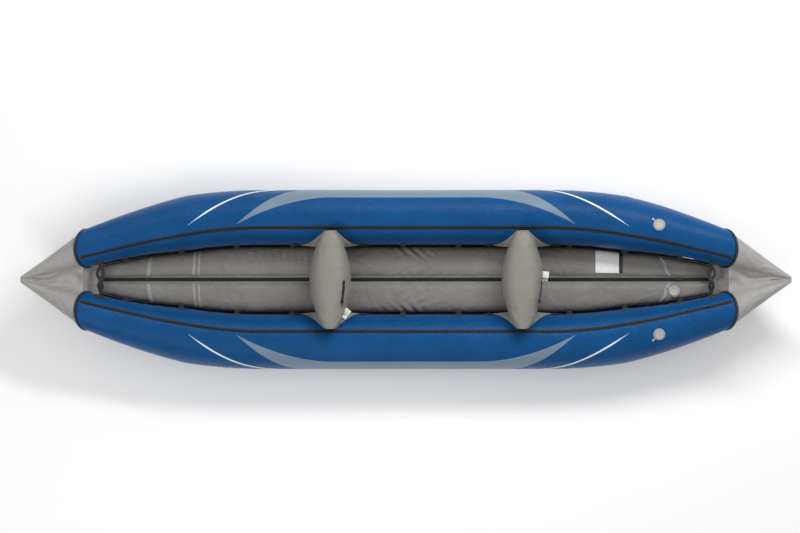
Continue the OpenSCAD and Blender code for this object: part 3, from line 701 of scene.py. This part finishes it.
def piping():
    welts = []
    for side in (1, -1):
        for end in (1, -1):
            a = np.arange(72) * 5.0
            path = tube_pt(end * (RING_X + 0.004), a, 0.0012)
            path[:, 1] *= side
            welts.append(sweep("welt", path, PIPING, 0.0058, closed=True, sides=10))
    obj = join("tube_end_piping_welts", welts)
    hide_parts("tube_end_piping")
    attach(obj, "hull")


# ---------------------------------------------------------------- pointed end caps
def cap(end):
    """Two cones that meet at the tip, with a slack, creased deck stretched between them."""
    name = "stern_cap" if end > 0 else "bow_cap"
    first = RING_X + 0.006
    t = np.linspace(0, 1, 70) ** 1.1
    xs = mix(first, TIP_X, t)
    lobe_n, deck_n = 56, 22
    rows = []
    for k, x in enumerate(xs):
        r, up = float(tube_rad(x)), 0.25 * float(tube_rad(x))
        half = min(0.004, 0.45 * float(tube_rad(x)))
        a1 = 180 - math.degrees(math.asin((up + half) / r))
        a2 = -180 - math.degrees(math.asin((up - half) / r))
        a = np.linspace(a2, a1, lobe_n)
        lobe = tube_pt(x, a)
        waves = np.sin(np.radians(a * 8) + 2.6 * math.sin(t[k] * 11))
        pull = 0.0060 * waves * near(a, 70, 70) * t[k] * (1 - t[k])
        seam = 0.0011 * (near(a, 104, 1.6) + near(a, 22, 1.6)) * smooth((1 - t[k]) * 8)
        lobe = tube_pt(x, a, pull + seam)
        low, top = lobe[0], lobe[-1]
        s = np.linspace(-1, 1, deck_n + 2)[1:-1]
        fan = np.arctan2(s * top[1], TIP_X - x + 0.02)
        sag = 0.030 * (1 - np.abs(s) ** 1.5) * (1 - t[k]) ** 0.7 * smooth(t[k] * 5 + 0.35)
        folds = np.sin(fan * 23 + 2.2 * math.sin(t[k] * 9 + end) + 0.7 * end)
        crease = 0.0052 * folds * (1 - s**2) * smooth((1 - t[k]) * 4)
        deck = np.stack([np.full(deck_n, top[0]), -s * top[1], top[2] - sag + crease], 1)
        drop = low[2] - sag[::-1] + crease[::-1]
        under = np.stack([np.full(deck_n, low[0]), s * low[1], drop], 1)
        port_lobe = (lobe * PORT)[::-1]
        rows.append(np.concatenate([lobe, deck, port_lobe, under]))
    grid = np.array(rows)
    if end < 0:
        grid = grid[:, ::-1] * np.array([-1.0, 1, 1])
        grid = grid[::-1][:, ::-1]
    obj = surface(name + "_cloth", grid, CAP_GREY, ends=True)
    fix_normals(obj)
    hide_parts(name)
    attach(obj, "hull")


def fix_normals(obj):
    work = bmesh.new()
    work.from_mesh(obj.data)
    bmesh.ops.recalc_face_normals(work, faces=work.faces)
    work.to_mesh(obj.data)
    work.free()


def end_deck():
    """Fabric that runs from the caps' deck down to the ends of the floor."""
    sheets = []
    for end in (1, -1):
        u, v = np.meshgrid(np.linspace(0, 1, 22), np.linspace(-1, 1, 30), indexing="ij")
        x = mix(FLOOR_X + 0.004, RING_X + 0.026, u)
        z = mix(0.150, 0.262, smooth(u) * 0.4 + u * 0.6)
        half = mix(0.090, 0.066, u)
        z = z - 0.010 * (1 - v**2) * np.sin(np.pi * u) + 0.002 * np.sin(v * 17 + u * 4 + end) * (1 - v**2)
        grid = np.stack([end * x, -end * v * half, z], -1)
        sheets.append(surface("panel", grid, CAP_GREY, wrap=False, thick=0.0016))
    obj = join("end_deck_panels", sheets)
    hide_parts("floor_end_panels")
    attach(obj, "hull")


# ---------------------------------------------------------------- floor
def floor_relief(x, y, points):
    """Cross creases forward and aft, soft waves where the floor flexes amidships, folds along the port
    chamber and a faint ripple.
    """
    star = smooth((y - 0.02) / 0.03)
    forward = near(x, -0.78, 0.26) * near(y, 0.10, 0.055)
    lines = 0.0027 * forward * np.sin(x * 2 * np.pi / 0.043 + 2.2 * np.sin(x * 11))
    behind = near(x, 0.84, 0.05) * near(y, 0.10, 0.06)
    lines += 0.0022 * behind * np.sin(x * 2 * np.pi / 0.020)
    amidships = near(x, 0.03, 0.10) * near(np.abs(y), 0.115, 0.07)
    slack = 0.0046 * amidships * np.sin(x * 88 + 4 * np.sin(y * 40 + x * 9))
    folds = np.sin(x * 2 * np.pi / 0.071 + 2.6 * np.sin(x * 7))
    port = 0.0011 * (1 - star) * folds * near(np.abs(y), 0.10, 0.05)
    return lines + slack + port + 0.0018 * ripple(points, 0.12, 3)


def floor():
    xs = np.linspace(-FLOOR_X, FLOOR_X, 400)
    t = np.linspace(-90, 145, 64)
    x, a = np.meshgrid(xs, t, indexing="ij")
    halves = []
    for side in (1, -1):
        base = floor_pt(x, a)
        base[..., 1] *= side
        top = smooth((a - 0) / 30)
        grid = floor_pt(x, a, floor_relief(x, base[..., 1], base) * top)
        halves.append(grid if side > 0 else grid[:, ::-1] * PORT)
    valley = halves[0][:, -1:] * np.array([1, 0, 1.0]) + np.array([0, 0.004, -0.001])
    grid = np.concatenate([halves[0], valley, valley * PORT, halves[1]], 1)
    obj = surface("floor_mattress", grid, FLOOR_GREY, ends=True)
    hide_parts("floor_shell")
    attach(obj, "hull")


def floor_tapes():
    """Glued seam tapes across the floor, where its panels meet."""
    tapes = []
    for x0, width, bow in FLOOR_TAPES:
        for side in (1, -1):
            v, w = np.meshgrid(np.linspace(10, 138, 44), np.linspace(-0.5, 0.5, 5), indexing="ij")
            x = x0 + w * width + bow * np.cos(np.radians(v))
            base = floor_pt(x, v)
            base[..., 1] *= side
            grid = floor_pt(x, v, floor_relief(x, base[..., 1], base) + 0.0012)
            grid = np.swapaxes(grid, 0, 1)
            grid = on_side(grid, "port" if side < 0 else "starboard")
            tapes.append(surface("tape", grid, CAP_GREY, wrap=False, thick=0.0008))
    obj = join("floor_seam_tapes", tapes)
    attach(obj, "hull")


def valley_z(x):
    return floor_pt(x, 145)[..., 2]


def floor_zipper():
    xs = np.linspace(-FLOOR_X + 0.012, FLOOR_X - 0.012, 260)
    z = valley_z(xs)
    shape = [(-1, 0.0004), (1, 0.0004), (0.98, 0.0018), (0.4, 0.0021), (-0.4, 0.0021), (-0.98, 0.0018)]
    grid = np.stack([np.stack([xs, np.full(xs.shape, s * ZIP_HALF), z + h], -1) for s, h in shape], 1)
    tape = surface("floor_zipper_tape", grid, TAPE, ends=True)
    places = []
    for x in np.arange(-FLOOR_X + 0.02, FLOOR_X - 0.02, 0.0052):
        slope = float(valley_z(np.array(x + 0.001)) - valley_z(np.array(x - 0.001))) / 0.002
        along = np.array([1, 0, slope]) / math.hypot(1, slope)
        out = np.array([-slope, 0, 1]) / math.hypot(1, slope)
        spot = np.array([x, 0, float(valley_z(np.array(x))) + 0.0032])
        places.append((spot, along, np.array([0, 1.0, 0]), out))
    teeth = zipper_teeth("floor_zipper_teeth", places)
    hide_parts("floor_zipper")
    for obj in (tape, teeth):
        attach(obj, "hull")


def floor_skirt(side):
    """Slack strip of fabric that hangs between a tube and the floor; its near-black tone is painted shade
    for the gap there.
    """
    xs = np.linspace(-1.632, 1.632, 250)
    s = np.linspace(0, 1, 12)
    r = tube_rad(xs) + 0.0015
    a = math.radians(222)
    tube_y, tube_z = axis_y(xs) + r * math.cos(a), axis_z(xs) + r * math.sin(a)
    edge_y, edge_z = floor_w(xs) + 0.001, rise(xs) + SIDE_H * FLOOR_H * floor_end(xs)
    y = mix(edge_y[:, None], tube_y[:, None], s[None])
    z = mix(edge_z[:, None], tube_z[:, None], s[None]) - 0.006 * np.sin(np.pi * s)[None]
    z = z + 0.0012 * np.sin(xs * 2 * np.pi / 0.07)[:, None] * np.sin(np.pi * s)[None]
    grid = np.stack([np.repeat(xs[:, None], len(s), 1), y, z], -1)[:, ::-1]
    # the near-black skirt material paints the shade in the gap between tube and floor
    obj = surface(f"{side}_skirt_cloth", on_side(grid, side), SKIRT_PAINTED_SHADE, wrap=False, thick=0.0014)
    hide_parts(f"{side}_floor_skirt")
    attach(obj, "hull")


def lash_tabs(side):
    """Folded webbing loops along the crease, each on a stitched-down foot."""
    parts = []
    for i in range(LASH_COUNT):
        x = (i - (LASH_COUNT - 1) / 2) * LASH_PITCH - 0.015
        along, around, out = tube_frame(x, 187.0)
        spot = tube_pt(x, 187.0, 0.0008)
        s = np.linspace(0, 1, 15)
        loop = spot + out * (0.017 * np.sin(np.pi * s))[:, None]
        loop = loop + around * (0.0026 * np.cos(np.pi * s))[:, None]
        parts.append(strap("loop", loop, along, BLACK_WEB, 0.026, 0.0016))
        foot = np.array([tube_pt(x, a, 0.0012) for a in np.linspace(163, 186, 8)])
        parts.append(strap("foot", foot, along, BLACK_WEB, 0.034, 0.0014))
    if side == "port":
        for o in parts:
            for v in o.data.vertices:
                v.co.y = -v.co.y
            o.data.flip_normals()
    obj = join(f"{side}_lash_loops", parts)
    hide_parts(f"{side}_lash_tabs")
    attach(obj, "hull")


# ---------------------------------------------------------------- grab handles
def handle(end):
    """Two strands of webbing that bow apart and are stitched together where they cross."""
    name = "stern_handle" if end > 0 else "bow_handle"
    s = np.linspace(-1, 1, 41)
    strands = []
    for k in (-1, 1):
        y = 0.066 * s
        part = 0.0125 * np.sin(np.pi * s) * k
        x = end * HANDLE_X + part + 0.003 * k
        z = HANDLE_Z + HANDLE_RISE * (1 - s**2) + 0.0022 * k * near(s, 0, 0.4)
        tilt = np.stack([np.ones_like(s), 0.25 * k * np.cos(np.pi * s), 0.18 * k * np.sin(2 * s)], 1)
        strands.append(strap("strand", np.stack([x, y, z], 1), tilt, BLACK_WEB, 0.0165, 0.0026))
    for k in (-1, 1):
        ang = np.linspace(-0.2, 2 * np.pi - 0.5, 26)
        ring = np.stack([
            end * HANDLE_X + 0.0066 * np.sin(ang), np.full(26, k * 0.067), HANDLE_Z - 0.0066 * np.cos(ang)
        ], 1)
        strands.append(strap("eye", ring, np.array([0, 1.0, 0]), BLACK_WEB, 0.014, 0.0022))
    across = [np.array([0, 1.0, 0]), np.array([1.0, 0, 0]), np.array([0, 0, 1.0])]
    stitch = np.array([end * HANDLE_X, 0, HANDLE_Z + HANDLE_RISE])
    strands.append(box_mesh("bartack", stitch, across, (0.012, 0.021, 0.0085), BLACK_WEB, 0.002))
    obj = join(name + "_webbing", strands)
    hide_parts(name)
    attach(obj, name)


def handle_patches(end):
    """Stitched webbing feet that hold a handle's pins to the tubes' inner sides."""
    parts = []
    for side in (1, -1):
        for a0, a1, width in ((150, 186, 0.030), (160, 178, 0.044)):
            lift = 0.0012 if width < 0.04 else 0.0030
            foot = np.array([tube_pt(HANDLE_X, a, lift) for a in np.linspace(a0, a1, 12)])
            along = tube_frame(HANDLE_X, 170.0)[0]
            o = strap("foot", foot, along, BLACK_WEB, width, 0.0016)
            for v in o.data.vertices:
                v.co.x *= end
                v.co.y *= side
            if end * side < 0:
                o.data.flip_normals()
            parts.append(o)
    name = "stern" if end > 0 else "bow"
    obj = join(f"{name}_handle_feet", parts)
    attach(obj, "hull")


# ---------------------------------------------------------------- backrests
def inflate(obj, frames, inward, outward, hold):
    """Blows a stitched pillow up as cloth, holding its seams, and keeps the result."""
    scene = bpy.context.scene
    start = np.array([v.co[:] for v in obj.data.vertices])
    cloth = obj.modifiers.new("Cloth", "CLOTH")
    s = cloth.settings
    s.use_pressure = True
    s.uniform_pressure_force = 5.0
    s.effector_weights.gravity = 0
    s.vertex_group_mass = "seams"
    s.shrink_min = -0.035
    s.quality = 6
    s.mass = 0.3
    s.tension_stiffness = 20
    s.compression_stiffness = 20
    s.bending_stiffness = 0.4
    cloth.collision_settings.use_collision = False
    cloth.point_cache.frame_start = 1
    cloth.point_cache.frame_end = frames
    for f in range(1, frames + 1):
        scene.frame_set(f)
    graph = bpy.context.evaluated_depsgraph_get()
    blown = bpy.data.meshes.new_from_object(obj.evaluated_get(graph))
    end = np.array([v.co[:] for v in blown.vertices])
    bpy.data.meshes.remove(blown)
    obj.modifiers.remove(cloth)
    scene.frame_set(1)
    normals = np.array([v.normal[:] for v in obj.data.vertices])
    lift = ((end - start) * normals).sum(1)
    lift = np.where(lift > 0, outward * np.tanh(lift / outward), inward * np.tanh(lift / inward))
    lift *= hold
    obj.data.vertices.foreach_set("co", (start + normals * lift[:, None]).ravel())
    obj.data.update()


def pillow(which, zip_at):
    x0 = SEATS[which]
    body = f"{which}_backrest"
    ys = SEAT_HALF_W * np.sin(np.linspace(-1, 1, 75) * np.pi / 2 * 0.98) / math.sin(np.pi / 2 * 0.98)
    y, a = np.meshgrid(ys, np.arange(60) * 6.0, indexing="ij")
    bands = near(y, 0.07, 0.02) + near(y, -0.10, 0.012) + near(y, 0.0, 0.008) + near(y, -0.18, 0.015)
    fine = near(a, 20, 75) * bands
    grid = seat_pt(x0, y, a, 0.0015 * fine * np.sin(y * 2 * np.pi / 0.012 + a * 0.01))
    obj = surface(body + "_pillow", grid, SEAT_GREY, ends=True)
    rows, cols = grid.shape[:2]
    ends = (0, 1, rows - 2, rows - 1)
    seams = [k for k in range(rows * cols) if k // cols in ends or k % cols == cols // 2]
    group = obj.vertex_groups.new(name="seams")
    group.add(seams, 1.0, "REPLACE")
    held = near(a, zip_at, 34) * smooth((0.02 - y) / 0.03) * smooth((y + 0.16) / 0.03)
    inflate(obj, 20, 0.0015, 0.007, 1 - held.ravel())
    obj.vertex_groups.clear()
    sub = obj.modifiers.new("Smooth", "SUBSURF")
    sub.levels = sub.render_levels = 1
    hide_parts(f"{which}_backrest_shell")
    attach(obj, body)
    return obj


def pillow_trim(which):
    """A welt round each end of a backrest, at its flat welded end seams."""
    x0, body = SEATS[which], f"{which}_backrest"
    parts = []
    for side in (1, -1):
        a = np.arange(48) * 7.5
        ring = seat_pt(x0, side * (SEAT_HALF_W - 0.001), a, 0.0004)
        parts.append(sweep("welt", ring, SEAT_GREY, 0.0022, closed=True, sides=8))
    obj = join(f"{which}_backrest_end_welts", parts)
    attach(obj, body)


def seat_zipper(which, at):
    """Short zipper on the aft face, with its tape and teeth."""
    x0, body = SEATS[which], f"{which}_backrest"
    ys = np.linspace(-0.123, -0.005, 40)

    def frame_at(y):
        d = seat_pt(x0, y, at + 1) - seat_pt(x0, y, at - 1)
        out = np.array([-d[2], 0, d[0]]) / math.hypot(d[0], d[2])
        e1 = np.array([-out[2], 0, out[0]])
        return seat_pt(x0, y, at), e1, out

    shape = [(-1, -0.0005), (1, -0.0005), (0.98, 0.0012), (0.4, 0.0015), (-0.4, 0.0015), (-0.98, 0.0012)]
    rows = []
    for y in ys:
        p, e1, out = frame_at(y)
        rows.append([p + e1 * s * ZIP_HALF + out * (h + 0.0008) for s, h in shape])
    grid = np.array(rows)
    tape = surface(f"{which}_backrest_zip_tape", grid, TAPE, ends=True)
    fix_normals(tape)
    places = []
    for y in np.arange(-0.119, -0.008, 0.0052):
        p, e1, out = frame_at(y)
        tangent = np.cross(out, e1)
        places.append((p + out * 0.0034, tangent, e1, out))
    teeth = zipper_teeth(f"{which}_backrest_zip_teeth", places)
    fix_normals(teeth)
    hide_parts(f"{which}_backrest_zipper")
    for obj in (tape, teeth):
        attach(obj, body)


def seat_tag(which, y, at):
    """A blank care tag, folded white tape, sewn into the aft seam beside the valve."""
    x0, body = SEATS[which], f"{which}_backrest"
    u, v = np.meshgrid(np.linspace(0, 1, 14), np.linspace(-0.5, 0.5, 12), indexing="ij")
    root = seat_pt(x0, y, at, 0.0022)
    turn = math.radians(40 if which == "front" else 4)
    away = np.array([math.cos(turn), -math.sin(turn), 0])
    across = np.array([math.sin(turn), math.cos(turn), 0])
    droop = -0.004 * u**2 + 0.0012 * np.sin(v * 5 + u * 3)
    flat = away * (u * TAG)[..., None] + across * (v * TAG)[..., None]
    grid = root + flat + np.array([0, 0, 1]) * droop[..., None]
    obj = surface(f"{which}_backrest_tag", grid, PATCH_PALE, wrap=False, thick=0.0008)
    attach(obj, body)


def clear_of_tube(points, gap):
    """Pushes points out of the starboard tube until they lie gap above its skin."""
    cy, cz = axis_y(points[..., 0]), axis_z(points[..., 0])
    dy, dz = points[..., 1] - cy, points[..., 2] - cz
    far = np.hypot(dy, dz)
    need = tube_rad(points[..., 0]) + gap
    k = np.where(far < need, need / far, 1)
    return np.stack([points[..., 0], cy + dy * k, cz + dz * k], -1)


def wing(which, fore, side):
    """A triangle of fabric from the end of a backrest down over the tube to the crease."""
    x0 = SEATS[which]
    u, v = np.meshgrid(np.linspace(0, 1, 34), np.linspace(0, 1, 22), indexing="ij")
    y_in = mix(0.247, 0.168, u)
    sewn = np.stack([
        x0 + fore * (seat_t(y_in) * mix(0.90, 0.86, u)),
        y_in,
        mix(0.318, 0.212, u),
    ], -1)
    outer = tube_pt(x0 + fore * mix(0.026, WING_REACH, u), mix(117, 176, u), 0.0034)
    p = mix(sewn, outer, v[..., None])
    belly = 0.006 * np.sin(np.pi * v) * np.sin(np.pi * u)
    p[..., 2] += -belly + 0.0022 * np.sin(v * 15 + u * 5 + 2 * fore) * np.sin(np.pi * v) * u
    p = clear_of_tube(p, 0.0028)
    if fore < 0:
        p = p[:, ::-1]
    if side == "port":
        p = p[:, ::-1] * PORT
    name = f"{which}_{'fore' if fore < 0 else 'aft'}_{side}_wing"
    obj = surface(name, p, SEAT_GREY, wrap=False, thick=0.0014)
    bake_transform(obj)
    return obj


def wings(which):
    made = [wing(which, fore, side) for fore in (-1, 1) for side in ("starboard", "port")]
    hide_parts(f"{which}_seat_wings")


def clips(which):
    """Side-release buckles and short webbing tails at the ends of the wings."""
    parts = []
    x0 = SEATS[which]
    for fore in (-1, 1):
        for side in (1, -1):
            x = x0 + fore * (WING_REACH + 0.016)
            along, around, out = tube_frame(x, 175.0)
            spot = tube_pt(x, 175.0, 0.0045)
            axes = (along, around, out)
            latch_at, latch_size = spot - along * fore * 0.002, (0.011, 0.0024, 0.0046)
            female, male = spot - along * fore * 0.004, spot + along * fore * 0.009
            made = [
                box_mesh("female", female, axes, (0.018, 0.020, 0.0062), BUCKLE),
                box_mesh("male", male, axes, (0.009, 0.017, 0.0050), BUCKLE),
                box_mesh("latch", latch_at + around * 0.0108, axes, latch_size, BUCKLE, 0.0008),
                box_mesh("latch", latch_at - around * 0.0108, axes, latch_size, BUCKLE, 0.0008),
            ]
            for o in made:
                if side < 0:
                    for v in o.data.vertices:
                        v.co.y = -v.co.y
                    o.data.flip_normals()
            parts += made
    obj = join(f"{which}_wing_clips", parts)
    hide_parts(f"{which}_seat_buckles")
    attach(obj, "hull")
    tails = []
    for fore in (-1, 1):
        for side in (1, -1):
            xs = x0 + fore * np.linspace(WING_REACH - 0.016, WING_REACH + 0.045, 12)
            path = tube_pt(xs, np.linspace(174, 178, 12), 0.0024)
            across = np.array([tube_frame(x, 175.0)[1] for x in xs])
            o = strap("tail", path, across, BLACK_WEB, 0.016, 0.0015)
            if side < 0:
                for v in o.data.vertices:
                    v.co.y = -v.co.y
                o.data.flip_normals()
            tails.append(o)
    obj = join(f"{which}_wing_tails", tails)
    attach(obj, "hull")


# ---------------------------------------------------------------- valve springs
def valve_spring(valve, out):
    """A coil that stands along out, built at the length that fits the CAD spring's box."""
    low, high = (np.array(corner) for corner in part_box(f"{valve}_valve_spring"))
    out = np.asarray(out, float) / np.linalg.norm(out)
    across = math.sqrt(1 - out[2] ** 2)
    length = (high[2] - low[2] - 2 * (COIL_R + WIRE_R) * across) / abs(out[2]) - 2 * WIRE_R
    foot = (low + high) / 2 - out * length / 2
    e1 = np.cross(out, [0, 1.0, 0])
    e1 /= np.linalg.norm(e1)
    e2 = np.cross(out, e1)
    u = np.linspace(0, 1, 24 * COIL_TURNS + 1)[:, None]
    turn = 2 * np.pi * COIL_TURNS * u
    path = foot + out * length * u + COIL_R * (e1 * np.cos(turn) + e2 * np.sin(turn))
    obj = sweep(f"{valve}_valve_coil", path, STEEL, WIRE_R, sides=8)
    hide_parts(f"{valve}_valve_spring")
    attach(obj, "hull")
    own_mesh(obj)


# ---------------------------------------------------------------- stage, light and camera
def stage():
    corners = [(-9, -9, 0), (9, -9, 0), (9, 9, 0), (-9, 9, 0)]
    ground = add_object("ground", corners, [(0, 1, 2, 3)], GROUND, flat=True)


def plain(name, grey, rough):
    mat, _, _, bsdf = shader(name)
    bsdf.inputs["Base Color"].default_value = (grey, grey, grey, 1)
    bsdf.inputs["Roughness"].default_value = rough
    return mat


GROUND = plain("ground", 0.96, 0.9)


def area_light(name, place, aim, size, power, colour=(1, 1, 1)):
    lamp = bpy.data.lights.new(name, "AREA")
    lamp.shape = "RECTANGLE"
    lamp.size, lamp.size_y = size
    lamp.energy = power
    lamp.color = colour
    obj = bpy.data.objects.new(name, lamp)
    bpy.context.scene.collection.objects.link(obj)
    obj.location = place
    obj.rotation_euler = (Vector(aim) - Vector(place)).to_track_quat("-Z", "Y").to_euler()


def lights():
    world = bpy.data.worlds.new("World")
    world.use_nodes = True
    world.node_tree.nodes["Background"].inputs[0].default_value = (1.0, 1.0, 1.0, 1)
    world.node_tree.nodes["Background"].inputs[1].default_value = 0.60
    bpy.context.scene.world = world
    area_light("key", (1.6, 3.2, 3.6), (0.2, 0, 0.1), (3.4, 0.5), 165)
    area_light("fill", (-2.4, -2.8, 4.4), (0, 0, 0.1), (3.5, 1.2), 70)


CAMERA_HEIGHT, VIEW_WIDTH = 40.0, 4.176


def camera():
    data = bpy.data.cameras.new("camera")
    data.sensor_width = 36
    data.lens = 36 * (CAMERA_HEIGHT - 0.20) / VIEW_WIDTH
    obj = bpy.data.objects.new("camera", data)
    bpy.context.scene.collection.objects.link(obj)
    obj.location = (-0.031, 0.068, CAMERA_HEIGHT)
    obj.rotation_euler = (0, 0, 0)
    bpy.context.scene.camera = obj


# ---------------------------------------------------------------- build
camera()
lights()
stage()
bpy.context.scene.view_settings.view_transform = "Standard"

for side in ("starboard", "port"):
    side_tube(side)
    graphics(side)
    tube_zipper(side)
    floor_skirt(side)
    lash_tabs(side)
piping()
for end in (1, -1):
    cap(end)
    handle(end)
    handle_patches(end)
end_deck()
floor()
floor_tapes()
floor_zipper()
for which, zip_at in (("front", 40), ("rear", 72)):
    pillow(which, zip_at)
    pillow_trim(which)
    seat_zipper(which, zip_at)
    wings(which)
    clips(which)
tube_out = tube_frame(VALVE_X, VALVE_ANGLE)[2]
valve_spring("starboard", tube_out)
valve_spring("port", tube_out * PORT)
floor_slope = (rise(FLOOR_VALVE_X + 0.001) - rise(FLOOR_VALVE_X - 0.001)) / 0.002
valve_spring("floor", (-floor_slope, 0, 1))
seat_tag("front", -0.158, 82)
seat_tag("rear", 0.026, 82)

KEPT = {
    FILM: ["starboard_tube_bladder", "port_tube_bladder", "floor_bladder",
           "front_backrest_bladder", "rear_backrest_bladder"],
    SLIDER: ["starboard_zip_slider", "port_zip_slider", "floor_zip_slider",
             "front_backrest_zip_slider", "rear_backrest_zip_slider"],
    VALVE_GREY: [
        f"{v}_{part}" for v in ("starboard", "port", "floor") for part in ("valve_body", "cap_strap")
    ],
    VALVE_BEIGE: [f"{v}_valve_cap" for v in ("starboard", "port", "floor")],
    VALVE_WHITE: [f"{v}_valve_poppet" for v in ("starboard", "port", "floor")]
    + [f"{s}_seat_valve_{part}" for s in ("front", "rear") for part in ("tube", "cap")],
    BLACK_WEB: ["bow_handle_anchors", "stern_handle_anchors"],
    PATCH_PALE: ["floor_label_patch", "tube_tag_patch"],
    PATCH_DARK: ["floor_strip_patch"],
}
for mat, names in KEPT.items():
    for node in names:
        dress(node, mat)
